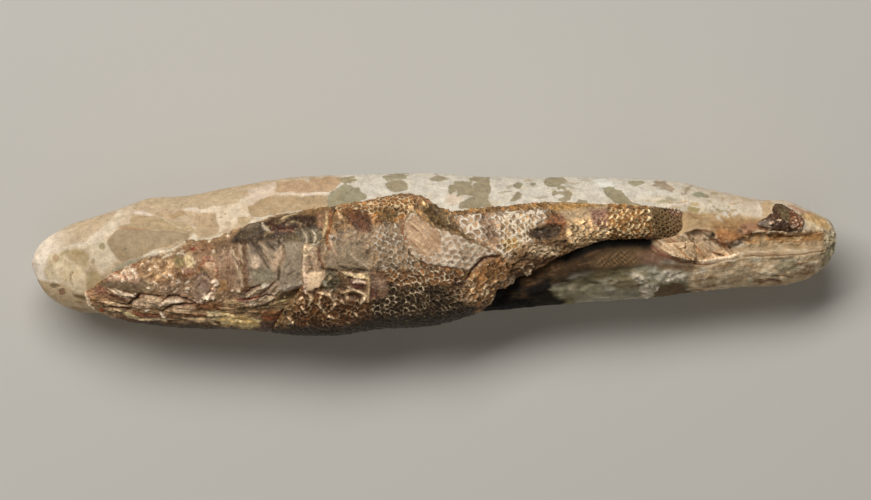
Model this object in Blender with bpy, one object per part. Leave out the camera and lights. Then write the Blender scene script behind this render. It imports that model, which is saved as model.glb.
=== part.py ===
"""A fossil fish in a long stone nodule that lies on its flat underside with the fish's scaled side bare.

Four solids: the stone matrix, the fish, the rays of its tail fin and a loose fragment of the fin's tip.
+X runs from the snout to the tail, +Y to the fish's back and +Z out of the bare side. The origin is under
the middle of the nodule, on the plane that it rests on.
"""

import math

import bmesh
import bpy
import numpy as np
from mathutils import Matrix

MM = 0.001


def mm(*rows):
    """Rows of millimetres as an array in metres."""
    return np.array(rows, float) * MM


# Driving dimensions.
LENGTH = 168 * MM
WAIST_HEIGHT = 12.5 * MM  # where the nodule is widest, above the plane that it rests on
FIT_GAP = 0.3 * MM  # between a fossil piece and its pocket in the matrix
FISH_LOW, FISH_HIGH = -72.4 * MM, 51.6 * MM  # the snout and the broken end of the tail stalk
STONE_ROUNDNESS = 1.9  # exponent of the nodule's section: 2 is an ellipse
FISH_ROUNDNESS = 2.25
BARE_CROWDING = 0.4  # how much closer the fish's facets lie on the bare side than on the buried one
NOSE_LOW, NOSE_HIGH = -LENGTH / 2, LENGTH / 2
# Broad lumps of the stone: wavelength along the nodule, waves round its section, phase and height.
STONE_LUMPS = (
    (41 * MM, 1, 0.4, 0.35 * MM), (23 * MM, -2, 2.1, 0.30 * MM), (17 * MM, 3, 4.0, 0.22 * MM),
    (11 * MM, -3, 1.2, 0.15 * MM),
)

# The nodule seen from above: (x, y) along the edge on the fish's back side, then on its belly side.
BACK_EDGE = mm(
    (-84, -2.0), (-83, 1.4), (-79.2, 4.5), (-75.4, 6.4), (-69.8, 8.3), (-65.6, 9.6), (-59.8, 11.6),
    (-53.7, 12.0), (-42.6, 14.1), (-30.9, 15.9), (-13.1, 16.8), (-1.4, 17.0), (7.6, 16.5),
    (21.8, 16.2), (43.1, 15.9), (53.6, 14.7), (59.4, 13.2), (68.8, 11.4), (73.7, 11.3),
    (77.4, 9.7), (81.0, 8.1), (82.9, 6.8), (84, 2.4),
)
BELLY_EDGE = mm(
    (-84, -2.0), (-83.4, -4.3), (-80.5, -8.9), (-77.5, -10.7), (-72.7, -12.2), (-67.5, -12.4),
    (-59.3, -13.2), (-48.9, -13.9), (-38.4, -14.2), (-30.1, -14.6), (-23.8, -15.0), (-17.5, -14.6),
    (-7.1, -13.4), (1.3, -12.6), (6.1, -12.0), (10.5, -11.8), (16.6, -11.4), (22.2, -10.8),
    (32.0, -9.9), (45.4, -9.1), (55.7, -7.8), (63.2, -7.0), (75.1, -6.0), (79.5, -4.3),
    (82.2, -1.9), (83.7, 0.8), (84, 2.4),
)
# (x, height of the nodule above its waist), then (x, depth below it before the underside is cut flat).
STONE_RISE = mm(
    (-84, 0), (-81, 3.6), (-75, 6.4), (-62, 9.0), (-45, 10.9), (-20, 12.0), (0, 12.3), (30, 12.0),
    (50, 10.9), (66, 9.2), (76, 7.3), (81.5, 4.8), (84, 0),
)
STONE_DEPTH = mm(
    (-84, 0), (-81, 3.6), (-75, 6.8), (-60, 10.2), (-40, 12.7), (0, 14.0), (40, 12.7), (60, 10.6),
    (75, 7.4), (81.5, 4.6), (84, 0),
)
# The fish seen from above: (x, y) of its back's edge, then of its belly's edge.
FISH_BACK = mm(
    (-72.4, -8.4), (-69.8, -6.6), (-66.7, -4.3), (-63.5, -2.8), (-59.3, -0.7), (-55.2, 0.9),
    (-51.0, 2.6), (-45.7, 3.4), (-41.6, 4.9), (-37.4, 6.5), (-30.1, 8.5), (-20.6, 9.8), (-11.2, 11.5),
    (-5.0, 12.2), (-2.9, 11.8), (-0.8, 10.8), (3.2, 9.2), (7.6, 9.3), (13.9, 9.8), (24.3, 10.8),
    (34.8, 10.4), (46.7, 9.7), (51.6, 8.6),
)
FISH_BELLY = mm(
    (-72.4, -8.4), (-71.5, -11.0), (-68.7, -12.4), (-65.6, -13.3), (-59.3, -14.7), (-48.9, -15.4),
    (-38.4, -15.8), (-30.1, -16.6), (-23.8, -17.0), (-17.5, -16.5), (-11.2, -15.5), (1.3, -14.5),
    (6.1, -13.1), (9.7, -11.8), (12.0, -9.6), (13.9, -7.0), (16.4, -5.1), (20.1, -3.7), (23.3, -2.0),
    (26.4, -0.3), (30.6, 1.6), (34.8, 3.0), (40.0, 3.4), (45.6, 3.4), (51.6, 4.1),
)
# (x, height) of the belly's edge, (x, bulge) of the bare side and (x, depth) of the buried side.
BELLY_HEIGHT = mm(
    (-72.4, 14.8), (-66, 12.6), (-55, 10.8), (-40, 10.0), (-20, 9.6), (0, 10.2), (7, 12.0),
    (11, 15.0), (16, 19.0), (24, 21.6), (34, 22.6), (45, 22.4), (51.6, 21.4),
)
FISH_BULGE = mm(
    (-72.4, 0.6), (-68, 3.0), (-60, 5.4), (-45, 8.0), (-28, 10.0), (-15, 11.0), (-4, 10.6), (6, 8.6),
    (12, 5.6), (18, 4.2), (30, 3.6), (40, 3.0), (45, 2.6), (47.5, 1.4), (51.6, 1.0),
)
FISH_DEPTH = mm(
    (-72.4, 0.6), (-66, 3.0), (-50, 5.0), (-20, 6.5), (0, 6.0), (16, 4.0), (40, 3.2), (51.6, 2.0),
)
BACK_PROUD = 0.4 * MM  # how far the fish's back edge stands out of the stone
BED_DEPTH, BED_EDGE = 3.5 * MM, 4.0 * MM  # the stone sinks under the fish, this far in from its outline

# Lines on the fish, seen from above, with the height of the step or groove along each.
BODY_FAULT = mm((-4.6, 12.6), (-2.4, 8.6), (0.6, 5.2), (5.4, 3.2), (10.0, 1.8), (13.4, 0.0), (15.4, -3.0))
FAULT_DROP, FAULT_WIDTH = 2.2 * MM, 3.4 * MM
GILL_EDGE = mm((-27.2, 9.4), (-27.0, 3.0), (-26.9, -4.0), (-27.0, -8.6), (-30.5, -11.0))
GILL_STEP, GILL_WIDTH = 0.9 * MM, 0.8 * MM
JAW_LINE = mm((-71.0, -8.6), (-64.5, -9.0), (-61.0, -8.0), (-55.6, -9.4), (-47.0, -10.6), (-38.0, -13.2))
JAW_GROOVE, JAW_WIDTH = 0.9 * MM, 1.1 * MM
CHEEK_RIDGE = mm((-40.4, -9.6), (-36.6, -9.0), (-33.4, -6.6), (-31.6, -2.4), (-32.4, 2.4))
CHEEK_HEIGHT, CHEEK_WIDTH = 0.7 * MM, 1.0 * MM
PLATE_EDGE = mm((7.0, -6.0), (8.6, -2.4), (11.6, -0.6), (14.0, -0.4), (16.0, -3.4))
PLATE_STEP, PLATE_WIDTH = 0.8 * MM, 0.9 * MM
EYE = dict(x=-47.4 * MM, y=-6.4 * MM, rx=3.4 * MM, ry=3.0 * MM, rise=0.9 * MM)
SKULL = dict(x=-33.0 * MM, y=5.6 * MM, rx=8.0 * MM, ry=2.6 * MM, rise=0.9 * MM)
FIN_HOLLOW = dict(x=-17.6 * MM, y=-5.6 * MM, rx=5.6 * MM, ry=2.6 * MM, rise=-1.1 * MM)
BELLY_LUMP = dict(x=-19.0 * MM, y=-12.0 * MM, rx=9.0 * MM, ry=4.0 * MM, rise=0.9 * MM)
STALK_CAVITY = dict(x=23.0 * MM, y=4.8 * MM, rx=3.4 * MM, ry=1.9 * MM, rise=-1.5 * MM)

# Lines on the stone round the tail.
TAIL_SCARP = mm((50.0, 3.6), (53.6, 5.2), (56.6, 4.6), (58.6, 2.9), (60.9, 1.8), (63.4, 2.8),
                (66.1, 4.3), (71.4, 4.5), (76.6, 4.9), (81.5, 5.2))
SCARP_DROP, SCARP_WIDTH = 1.6 * MM, 1.0 * MM
TAIL_RIM = mm((45.0, 0.6), (48.4, -0.7), (52.5, -1.8), (56.7, -1.8), (63.0, -0.3), (68.2, 0.0),
              (76.6, 0.4), (83.0, 1.2))
RIM_RISE, RIM_WIDTH = 0.5 * MM, 1.0 * MM
HOLLOW_DEPTH, HOLLOW_REACH = 2.6 * MM, 6.0 * MM  # the hollow where the stalk's lower half broke away
HOLLOW_FROM, HOLLOW_TO = 10.0 * MM, 50.0 * MM

# The tail fin's rays and the loose fragment.
FIN_ROOT, FIN_TIP = 46.8 * MM, 64.0 * MM
FIN_UPPER = mm((46.8, 1.4), (48.0, 2.2), (51.0, 2.6), (54.0, 2.4), (57.0, 1.0), (60.0, 0.5), (64.0, 0.1))
FIN_LOWER = mm((46.8, 1.4), (48.0, 0.6), (50.0, -0.4), (53.0, -1.2), (56.7, -1.3), (60.0, -0.8), (64.0, 0.1))
FIN_THICKNESS, FIN_PROUD = 1.6 * MM, 0.5 * MM
RAY_COUNT, RAY_HEIGHT = 5, 0.25 * MM
FRAGMENT_OUTLINE = mm(
    (71.1, 10.6), (72.5, 10.5), (73.9, 9.7), (75.5, 8.6), (77.1, 7.1), (76.6, 5.5), (74.5, 4.9),
    (72.0, 5.1), (69.3, 5.5), (67.1, 6.3), (69.1, 7.6), (70.4, 8.6),
)
FRAGMENT_RISE, FRAGMENT_SINK = 1.7 * MM, 1.8 * MM


def tip_share(x, low, high):
    """0 at low and 1 at high, stretched at both ends so that a round end becomes a straight line."""
    middle, half = (low + high) / 2, (high - low) / 2
    return np.arccos(np.clip((middle - x) / half, -1, 1)) / np.pi


def curve_through(points):
    """A smooth function of x through the points, round at both ends."""
    low, high = points[0, 0], points[-1, 0]
    knots = tip_share(points[:, 0], low, high)
    slopes = np.gradient(points[:, 1], knots)

    def value(x):
        share = tip_share(x, low, high)
        i = np.clip(np.searchsorted(knots, share) - 1, 0, len(knots) - 2)
        width = knots[i + 1] - knots[i]
        u = (share - knots[i]) / width
        return (
            points[i, 1] * (1 + 2 * u) * (1 - u) ** 2
            + points[i + 1, 1] * u * u * (3 - 2 * u)
            + slopes[i] * width * u * (1 - u) ** 2
            - slopes[i + 1] * width * u * u * (1 - u)
        )

    return value


back_edge, belly_edge = curve_through(BACK_EDGE), curve_through(BELLY_EDGE)
stone_rise, stone_depth = curve_through(STONE_RISE), curve_through(STONE_DEPTH)
fish_back, fish_belly = curve_through(FISH_BACK), curve_through(FISH_BELLY)
belly_height, fish_bulge = curve_through(BELLY_HEIGHT), curve_through(FISH_BULGE)
fish_depth = curve_through(FISH_DEPTH)
fin_upper, fin_lower = curve_through(FIN_UPPER), curve_through(FIN_LOWER)


def smooth_step(low, high, value):
    share = np.clip((value - low) / (high - low), 0, 1)
    return share * share * (3 - 2 * share)


def rounded(value, exponent):
    """A sine or cosine pulled towards a fuller (exponent over 2) or flatter section."""
    return np.sign(value) * np.abs(value) ** (2 / exponent)


def from_line(x, y, line):
    """Distance to a line of points, positive on its left, and how far along it from 0 to 1."""
    best, side, place = np.full(x.shape, np.inf), np.ones(x.shape), np.zeros(x.shape)
    count = len(line) - 1
    for i, (start, end) in enumerate(zip(line[:-1], line[1:])):
        run = end - start
        share = ((x - start[0]) * run[0] + (y - start[1]) * run[1]) / (run @ run)
        near = np.clip(share, 0, 1)
        away = np.hypot(x - start[0] - near * run[0], y - start[1] - near * run[1])
        closer = away < best
        turn = run[0] * (y - start[1]) - run[1] * (x - start[0])
        side = np.where(closer, np.sign(turn) + (turn == 0), side)
        place = np.where(closer, (i + near) / count, place)
        best = np.where(closer, away, best)
    return best * side, place


def groove(x, y, line, width):
    """1 along the line, fading out over the width and at its two ends."""
    away, place = from_line(x, y, line)
    ends = smooth_step(0, 0.12, place) * smooth_step(0, 0.12, 1 - place)
    return np.exp(-((away / width) ** 2)) * ends


def mound(x, y, spot):
    """A smooth rise or hollow over an ellipse."""
    away = ((x - spot["x"]) / spot["rx"]) ** 2 + ((y - spot["y"]) / spot["ry"]) ** 2
    return spot["rise"] * np.clip(1 - away, 0, 1) ** 1.5


def tail_relief(x, y):
    """The hollow below the stalk, and the scarp and rim that cross the tail's end of the stone."""
    below = fish_belly(np.clip(x, HOLLOW_FROM, HOLLOW_TO)) - y
    hollow = smooth_step(HOLLOW_FROM, HOLLOW_FROM + 6 * MM, x) * smooth_step(-HOLLOW_TO, -HOLLOW_TO + 6 * MM, -x)
    hollow = hollow * smooth_step(-4 * MM, -1 * MM, below) * (1 - smooth_step(0.25, 1, below / HOLLOW_REACH))
    scarp, place = from_line(x, y, TAIL_SCARP)
    low = smooth_step(0, SCARP_WIDTH, -scarp) * smooth_step(0, 0.15, place) * smooth_step(0, 0.1, 1 - place)
    rim, _ = from_line(x, y, TAIL_RIM)
    low = low * smooth_step(-RIM_WIDTH, RIM_WIDTH, rim)
    return RIM_RISE * groove(x, y, TAIL_RIM, RIM_WIDTH) - SCARP_DROP * low - HOLLOW_DEPTH * hollow


def stone_top(x, y):
    """Height of the nodule's bare side at a point seen from above, without its relief."""
    middle = (back_edge(x) + belly_edge(x)) / 2
    half = (back_edge(x) - belly_edge(x)) / 2 + 1e-9
    across = np.clip(np.abs(y - middle) / half, 0, 1)
    return WAIST_HEIGHT + stone_rise(x) * (1 - across**STONE_ROUNDNESS) ** (1 / STONE_ROUNDNESS)


def bed(x, y):
    """How far the stone is sunk under the fish, so that nothing of it stands over the scales."""
    inward = np.minimum(fish_back(x) - y, y - fish_belly(x))
    within = smooth_step(FISH_LOW, FISH_LOW + BED_EDGE, x) * smooth_step(-FISH_HIGH, BED_EDGE - FISH_HIGH, -x)
    return BED_DEPTH * within * smooth_step(0, BED_EDGE, inward)


def fish_relief(x, y):
    """Steps, ridges and hollows of the fish's bare side."""
    fault, place = from_line(x, y, BODY_FAULT)
    behind = smooth_step(0, 1, fault / (FAULT_WIDTH * (1.05 - place)))
    relief = -FAULT_DROP * behind * (1 - 0.75 * place)
    gill, _ = from_line(x, y, GILL_EDGE)
    relief = relief - GILL_STEP * smooth_step(-GILL_WIDTH, GILL_WIDTH, -gill) * smooth_step(-52 * MM, -34 * MM, x)
    relief = relief - JAW_GROOVE * groove(x, y, JAW_LINE, JAW_WIDTH)
    relief = relief + CHEEK_HEIGHT * groove(x, y, CHEEK_RIDGE, CHEEK_WIDTH)
    plate, place = from_line(x, y, PLATE_EDGE)
    relief = relief - PLATE_STEP * np.exp(-((plate + PLATE_WIDTH) / PLATE_WIDTH / 1.6) ** 2) * smooth_step(0, 0.2, place)
    for spot in (EYE, SKULL, FIN_HOLLOW, BELLY_LUMP, STALK_CAVITY):
        relief = relief + mound(x, y, spot)
    return relief


def along(share, low, high, evenness):
    """The ring's place from low to high: rings crowd together at the two ends, less so if even."""
    unit = (evenness - 1) * np.cos(np.pi * share) + evenness * (2 * share - 1)
    return (low + high) / 2 + (high - low) / 2 * unit


def lumps(x, angle):
    """How far the stone's broad lumps stand out."""
    return sum(
        height * np.sin(2 * np.pi * x / wave + turns * angle + phase)
        for wave, turns, phase, height in STONE_LUMPS
    )


def stone_surface(share, angle, inside):
    """The nodule's surface: share runs from tip to tip and angle goes round the section."""
    x = along(share, NOSE_LOW, NOSE_HIGH, 0.15)
    angle = angle + 0.5 * BARE_CROWDING * np.cos(angle)
    middle, half = (back_edge(x) + belly_edge(x)) / 2, (back_edge(x) - belly_edge(x)) / 2
    y = middle + inside * half * rounded(np.cos(angle), STONE_ROUNDNESS)
    height = rounded(np.sin(angle), STONE_ROUNDNESS)
    reach = np.where(height > 0, stone_rise(x), stone_depth(x)) + lumps(x, angle)
    z = WAIST_HEIGHT + inside * height * reach
    top = smooth_step(0.2, 0.6, height)
    return np.stack([x, y, z + (tail_relief(x, y) - bed(x, y)) * top], axis=1)


def fish_surface(share, angle, inside):
    """The fish's surface: each section leans from the back's edge down to the belly's edge."""
    x = along(share, FISH_LOW, FISH_HIGH, 0.6)
    angle = angle + BARE_CROWDING * np.cos(angle)
    back_y, belly_y = fish_back(x), fish_belly(x)
    back_z = stone_top(x, back_y) + BACK_PROUD * np.clip(inside, 0, 1)
    belly_z = np.minimum(belly_height(x), back_z + 1 * MM)
    half_y, half_z = (back_y - belly_y) / 2, (back_z - belly_z) / 2
    half = np.hypot(half_y, half_z) + 1e-9
    lean_y, lean_z = half_y / half, half_z / half
    out = rounded(np.sin(angle), FISH_ROUNDNESS)
    out = inside * out * np.where(out > 0, fish_bulge(x), fish_depth(x))
    across = inside * half * rounded(np.cos(angle), FISH_ROUNDNESS)
    # The bulge leans out over the belly's edge, so that half is drawn in to end at its outline.
    dual = FISH_ROUNDNESS / (FISH_ROUNDNESS - 1)
    lean_share = np.clip(fish_bulge(x) * lean_z / (half * lean_y + 1e-9), 0, 0.95)
    across = across * np.where(across < 0, (1 - lean_share**dual) ** (1 / dual), 1)
    y = (back_y + belly_y) / 2 + across * lean_y - out * lean_z
    z = (back_z + belly_z) / 2 + across * lean_z + out * lean_y
    bare = smooth_step(0.05, 0.5, np.sin(angle))
    return np.stack([x, y, z + fish_relief(x, y) * bare], axis=1)


def fin_surface(share, angle, inside, ray_height=RAY_HEIGHT):
    """The tail fin's rays: a thin lens let into the stone, ridged from its root to its tip."""
    x = along(share, FIN_ROOT, FIN_TIP, 0.2)
    middle, half = (fin_upper(x) + fin_lower(x)) / 2, (fin_upper(x) - fin_lower(x)) / 2
    y = middle + inside * half * np.cos(angle)
    top = stone_top(x, y) + tail_relief(x, y)
    rays = ray_height * half / FIN_THICKNESS * np.cos(2 * np.pi * RAY_COUNT * (np.cos(angle) + 1) / 2)
    thin = inside * np.sin(angle) * np.sin(np.pi * share) ** 0.6
    above, below = thin * (FIN_PROUD + rays), thin * FIN_THICKNESS
    return np.stack([x, y, top + np.where(np.sin(angle) > 0, above, below)], axis=1)


def fin_blank(share, angle, inside):
    """The tail fin without its ridges, for its pocket."""
    return fin_surface(share, angle, inside, 0)


def fragment_surface(share, angle, inside):
    """The loose fragment: a chip with a ridge towards its point, on a three-sided outline."""
    turn, lift = angle, np.cos(np.pi * share)
    centre = FRAGMENT_OUTLINE.mean(axis=0)
    arms = FRAGMENT_OUTLINE - centre
    bearings = np.arctan2(arms[:, 1], arms[:, 0])
    order = np.argsort(bearings)
    reach = np.interp(turn, bearings[order], np.hypot(*arms.T)[order], period=2 * np.pi)
    flat = inside * np.sin(np.pi * share) ** 0.6
    x, y = centre[0] + reach * flat * np.cos(turn), centre[1] + reach * flat * np.sin(turn)
    rise = np.where(lift > 0, FRAGMENT_RISE, FRAGMENT_SINK) * rounded(lift, 2.6)
    return np.stack([x, y, stone_top(x, y) + tail_relief(x, y) + rise], axis=1)


def place_vertices(mesh, places):
    for vertex, place in zip(list(mesh.verts), list(places)):
        vertex.co = place


def shaped_sphere(name, rings, around, surface, grow=0, upright=False):
    """A sphere of rings and segments whose vertices are moved onto surface(share, angle, inside).

    The poles lie on X, or on Z where it is upright. inside is 0 at a pole and 1 elsewhere. A cutter
    is the same shape, grown outwards."""
    turn = Matrix.Identity(4) if upright else Matrix.Rotation(math.radians(90), 4, "Y")
    mesh = bmesh.new()
    bmesh.ops.create_uvsphere(mesh, u_segments=around, v_segments=rings, radius=1, matrix=turn)
    unit = np.array([vertex.co for vertex in mesh.verts])
    pole, side, front = (unit[:, 2], unit[:, 0], unit[:, 1]) if upright else unit.T
    share = np.arccos(np.clip(pole if upright else -pole, -1, 1)) / np.pi
    angle = np.arctan2(front, side)
    inside = np.where(np.abs(pole) > 1 - 1e-6, 0.0, 1.0)
    place_vertices(mesh, surface(share, angle, inside))
    mesh.normal_update()
    place_vertices(mesh, [vertex.co + grow * vertex.normal for vertex in mesh.verts])
    data = bpy.data.meshes.new(name)
    mesh.to_mesh(data)
    mesh.free()
    return bpy.data.objects.new(name, data)


def painted(name, colour, roughness):
    """A plain material for one piece."""
    material = bpy.data.materials.new(name)
    material.use_nodes = True
    shader = material.node_tree.nodes["Principled BSDF"]
    shader.inputs["Base Color"].default_value = (*colour, 1)
    shader.inputs["Roughness"].default_value = roughness
    shader.inputs["Metallic"].default_value = 0
    material.diffuse_color = (*colour, 1)
    return material


def collection(name):
    made = bpy.data.collections.new(name)
    bpy.context.scene.collection.children.link(made)
    return made


def cut(body, cutter):
    """Take a cutter out of a body."""
    cutter.hide_render = True
    cutter.display_type = "WIRE"
    modifier = body.modifiers.new(cutter.name, "BOOLEAN")
    modifier.operation = "DIFFERENCE"
    modifier.solver = "EXACT"
    modifier.object = cutter


def floor_block():
    """A block under the plane that the nodule rests on."""
    mesh = bmesh.new()
    bmesh.ops.create_cube(mesh, size=1)
    bmesh.ops.scale(mesh, vec=(0.2, 0.06, 0.02), verts=mesh.verts)
    bmesh.ops.translate(mesh, vec=(0, 0, -0.01), verts=mesh.verts)
    data = bpy.data.meshes.new("floor_block")
    mesh.to_mesh(data)
    mesh.free()
    return bpy.data.objects.new("floor_block", data)


def main():
    for item in list(bpy.data.objects):
        bpy.data.objects.remove(item)
    parts = collection("fossil_fish_slab")
    cutters = collection("cutters")

    stone = shaped_sphere("matrix", 60, 32, stone_surface)
    stone.data.materials.append(painted("limestone", (0.62, 0.55, 0.45), 0.85))
    parts.objects.link(stone)

    fish_paint = painted("fossil_scales", (0.26, 0.18, 0.10), 0.5)
    fin_paint = painted("fossil_rays", (0.70, 0.58, 0.42), 0.6)
    bone_paint = painted("fossil_bone", (0.16, 0.10, 0.07), 0.45)
    shapes = (
        ("fish", 78, 22, fish_surface, fish_surface, False, fish_paint),
        ("tail_fin", 14, 20, fin_surface, fin_blank, False, fin_paint),
        ("tail_fragment", 8, 22, fragment_surface, fragment_surface, True, bone_paint),
    )
    for name, rings, around, surface, blank, upright, material in shapes:
        piece = shaped_sphere(name, rings, around, surface, upright=upright)
        piece.data.materials.append(material)
        parts.objects.link(piece)
        pocket = shaped_sphere(name + "_pocket", rings, around, blank, FIT_GAP, upright)
        cutters.objects.link(pocket)
        cut(stone, pocket)

    block = floor_block()
    cutters.objects.link(block)
    cut(stone, block)
    for piece in parts.objects:
        piece.data.shade_smooth()


main()
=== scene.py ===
"""A fossil fish in its stone nodule, dressed for rendering: limestone, scales, fin rays and a bone chip.

All lengths are in millimetres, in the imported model's frame, until a mesh is made."""

import math
from itertools import product

import bpy
import numpy as np
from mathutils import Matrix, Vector


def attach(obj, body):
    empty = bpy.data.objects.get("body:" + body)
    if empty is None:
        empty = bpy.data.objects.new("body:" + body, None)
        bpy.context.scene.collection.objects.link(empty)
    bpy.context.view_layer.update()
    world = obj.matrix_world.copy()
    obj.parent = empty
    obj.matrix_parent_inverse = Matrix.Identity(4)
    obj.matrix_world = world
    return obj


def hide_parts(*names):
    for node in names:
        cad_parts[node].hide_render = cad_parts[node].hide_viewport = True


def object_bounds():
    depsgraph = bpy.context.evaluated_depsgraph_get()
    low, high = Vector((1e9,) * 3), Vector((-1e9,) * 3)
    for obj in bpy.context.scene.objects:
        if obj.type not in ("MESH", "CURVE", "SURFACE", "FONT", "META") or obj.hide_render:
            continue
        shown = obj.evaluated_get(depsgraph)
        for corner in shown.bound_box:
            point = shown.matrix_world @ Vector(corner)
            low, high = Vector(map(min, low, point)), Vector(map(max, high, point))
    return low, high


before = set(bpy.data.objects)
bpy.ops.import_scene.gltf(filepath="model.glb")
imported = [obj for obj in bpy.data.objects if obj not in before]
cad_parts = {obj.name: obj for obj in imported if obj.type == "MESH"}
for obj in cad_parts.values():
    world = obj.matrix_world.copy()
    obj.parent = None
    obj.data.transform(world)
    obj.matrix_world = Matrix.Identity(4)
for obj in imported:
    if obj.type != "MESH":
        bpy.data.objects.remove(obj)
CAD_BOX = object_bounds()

MM = 0.001

# ---------------------------------------------------------------- curves


def path(points):
    """The points of a line, an outline or a curve, which may be written as text: "x,y x,y"."""
    if isinstance(points, str):
        points = [point.split(",") for point in points.split()]
    return np.array(points, float)


def curve_through(points):
    """A smooth function of x through the points, round at both ends."""
    points = path(points)
    low, high = points[0, 0], points[-1, 0]

    def share_of(x):
        return np.arccos(np.clip((low + high - 2 * x) / (high - low), -1, 1)) / np.pi

    knots = share_of(points[:, 0])
    slopes = np.gradient(points[:, 1], knots)

    def value(x):
        share = share_of(x)
        i = np.clip(np.searchsorted(knots, share) - 1, 0, len(knots) - 2)
        width = knots[i + 1] - knots[i]
        u = (share - knots[i]) / width
        return (
            points[i, 1] * (1 + 2 * u) * (1 - u) ** 2
            + points[i + 1, 1] * u * u * (3 - 2 * u)
            + slopes[i] * width * u * (1 - u) ** 2
            - slopes[i + 1] * width * u * u * (1 - u)
        )

    return value


# ---------------------------------------------------------------- the main forms, as the solids have them

LENGTH = 168
WAIST_HEIGHT = 12.5
FISH_LOW, FISH_HIGH = -72.4, 51.6
HEAD_END, TRUNK_START = -19.5, -36  # the fish's two skins overlap under the gill cover's edge
STONE_RINGS, STONE_AROUND = 520, 190
HEAD_RINGS, HEAD_AROUND = 320, 204
TRUNK_RINGS, TRUNK_AROUND = 500, 196
FIN_RINGS, FIN_AROUND = 150, 130
CHIP_RINGS, CHIP_AROUND = 90, 110
STONE_ROUNDNESS, FISH_ROUNDNESS = 1.9, 2.25
STONE_LUMPS = ((41, 1, 0.4, 0.35), (23, -2, 2.1, 0.30), (17, 3, 4.0, 0.22), (11, -3, 1.2, 0.15))

back_edge = curve_through(
    "-84,-2 -83,1.4 -79.2,4.5 -75.4,6.4 -69.8,8.3 -65.6,9.6 -59.8,11.6 -53.7,12 -42.6,14.1 -30.9,15.9 "
    "-13.1,16.8 -1.4,17 7.6,16.5 21.8,16.2 43.1,15.9 53.6,14.7 59.4,13.2 68.8,11.4 73.7,11.3 77.4,9.7 81,8.1 "
    "82.9,6.8 84,2.4"
)
belly_edge = curve_through(
    "-84,-2 -83.4,-4.3 -80.5,-8.9 -77.5,-10.7 -72.7,-12.2 -67.5,-12.4 -59.3,-13.2 -48.9,-13.9 -38.4,-14.2 "
    "-30.1,-14.6 -23.8,-15 -17.5,-14.6 -7.1,-13.4 1.3,-12.6 6.1,-12 10.5,-11.8 16.6,-11.4 22.2,-10.8 32,-9.9 "
    "45.4,-9.1 55.7,-7.8 63.2,-7 75.1,-6 79.5,-4.3 82.2,-1.9 83.7,0.8 84,2.4"
)
stone_rise = curve_through(
    "-84,0 -81,3.6 -75,6.4 -62,9 -45,10.9 -20,12 0,12.3 30,12 50,10.9 66,9.2 76,7.3 81.5,4.8 84,0"
)
stone_depth = curve_through(
    "-84,0 -81,3.6 -75,6.8 -60,10.2 -40,12.7 0,14 40,12.7 60,10.6 75,7.4 81.5,4.6 84,0"
)
fish_back = curve_through(
    "-72.4,-8.4 -69.8,-6.6 -66.7,-4.3 -63.5,-2.8 -59.3,-0.7 -55.2,0.9 -51,2.6 -45.7,3.4 -41.6,4.9 -37.4,6.5 "
    "-30.1,8.5 -20.6,9.8 -11.2,11.5 -5,12.2 -2.9,11.8 -0.8,10.8 3.2,9.2 7.6,9.3 13.9,9.8 24.3,10.8 34.8,10.4 "
    "46.7,9.7 51.6,8.6"
)
fish_belly = curve_through(
    "-72.4,-8.4 -71.5,-11 -68.7,-12.4 -65.6,-13.3 -59.3,-14.7 -48.9,-15.4 -38.4,-15.8 -30.1,-16.6 -23.8,-17 "
    "-17.5,-16.5 -11.2,-15.5 1.3,-14.5 6.1,-13.1 9.7,-11.8 12,-9.6 13.9,-7 16.4,-5.1 20.1,-3.7 23.3,-2 "
    "26.4,-0.3 30.6,1.6 34.8,3 40,3.4 45.6,3.4 51.6,4.1"
)
belly_height = curve_through(
    "-72.4,14.8 -66,12.6 -55,10.8 -40,10 -20,9.6 0,10.2 7,12 11,15 16,19 24,21.6 34,22.6 45,22.4 51.6,21.4"
)
fish_bulge = curve_through(
    "-72.4,0.6 -68,3 -60,5.4 -45,8 -28,10 -15,11 -4,10.6 6,8.6 12,5.6 18,4.2 30,3.6 40,3 45,2.6 47.5,1.4 "
    "51.6,1"
)
fish_depth = curve_through("-72.4,0.6 -66,3 -50,5 -20,6.5 0,6 16,4 40,3.2 51.6,2")
BACK_PROUD = 0.4
BED_DEPTH, BED_EDGE = 3.5, 4.0

BODY_FAULT = "-4.6,12.6 -2.4,8.6 0.6,5.2 5.4,3.2 10,1.8 13.4,0 15.4,-3"
FAULT_DROP, FAULT_WIDTH = 2.2, 3.0
GILL_EDGE = (
    "-20,10.4 -20.9,6.8 -21.9,3.7 -24.2,2.6 -26.7,2 -26.9,-1.6 -26.9,-6.6 -28.8,-9.5 -30.9,-11.8 -34.7,-17.9"
)
TAIL_SCARP = "50,3.6 53.6,5.2 56.6,4.6 58.6,2.9 60.9,1.8 63.4,2.8 66.1,4.3 71.4,4.5 76.6,4.9 81.5,5.2"
SCARP_DROP, SCARP_WIDTH = 1.6, 0.5
TAIL_RIM = "45,0.6 48.4,-0.7 52.5,-1.8 56.7,-1.8 63,-0.3 68.2,0 76.6,0.4 83,1.2"
RIM_RISE, RIM_WIDTH = 0.5, 0.8
HOLLOW_DEPTH, HOLLOW_REACH = 2.6, 6.0
HOLLOW_FROM, HOLLOW_TO = 10.0, 50.0
FIN_ROOT, FIN_TIP = 46.8, 64.0
fin_upper = curve_through("46.8,1.4 48,2.2 51,2.6 54,2.4 57,1 60,0.5 64,0.1")
fin_lower = curve_through("46.8,1.4 48,0.6 50,-0.4 53,-1.2 56.7,-1.3 60,-0.8 64,0.1")
FIN_THICKNESS, FIN_PROUD = 1.6, 0.5
FRAGMENT_OUTLINE = (
    "71.1,10.6 72.5,10.5 73.9,9.7 75.5,8.6 77.1,7.1 76.6,5.5 74.5,4.9 72,5.1 69.3,5.5 67.1,6.3 69.1,7.6 "
    "70.4,8.6"
)
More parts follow.
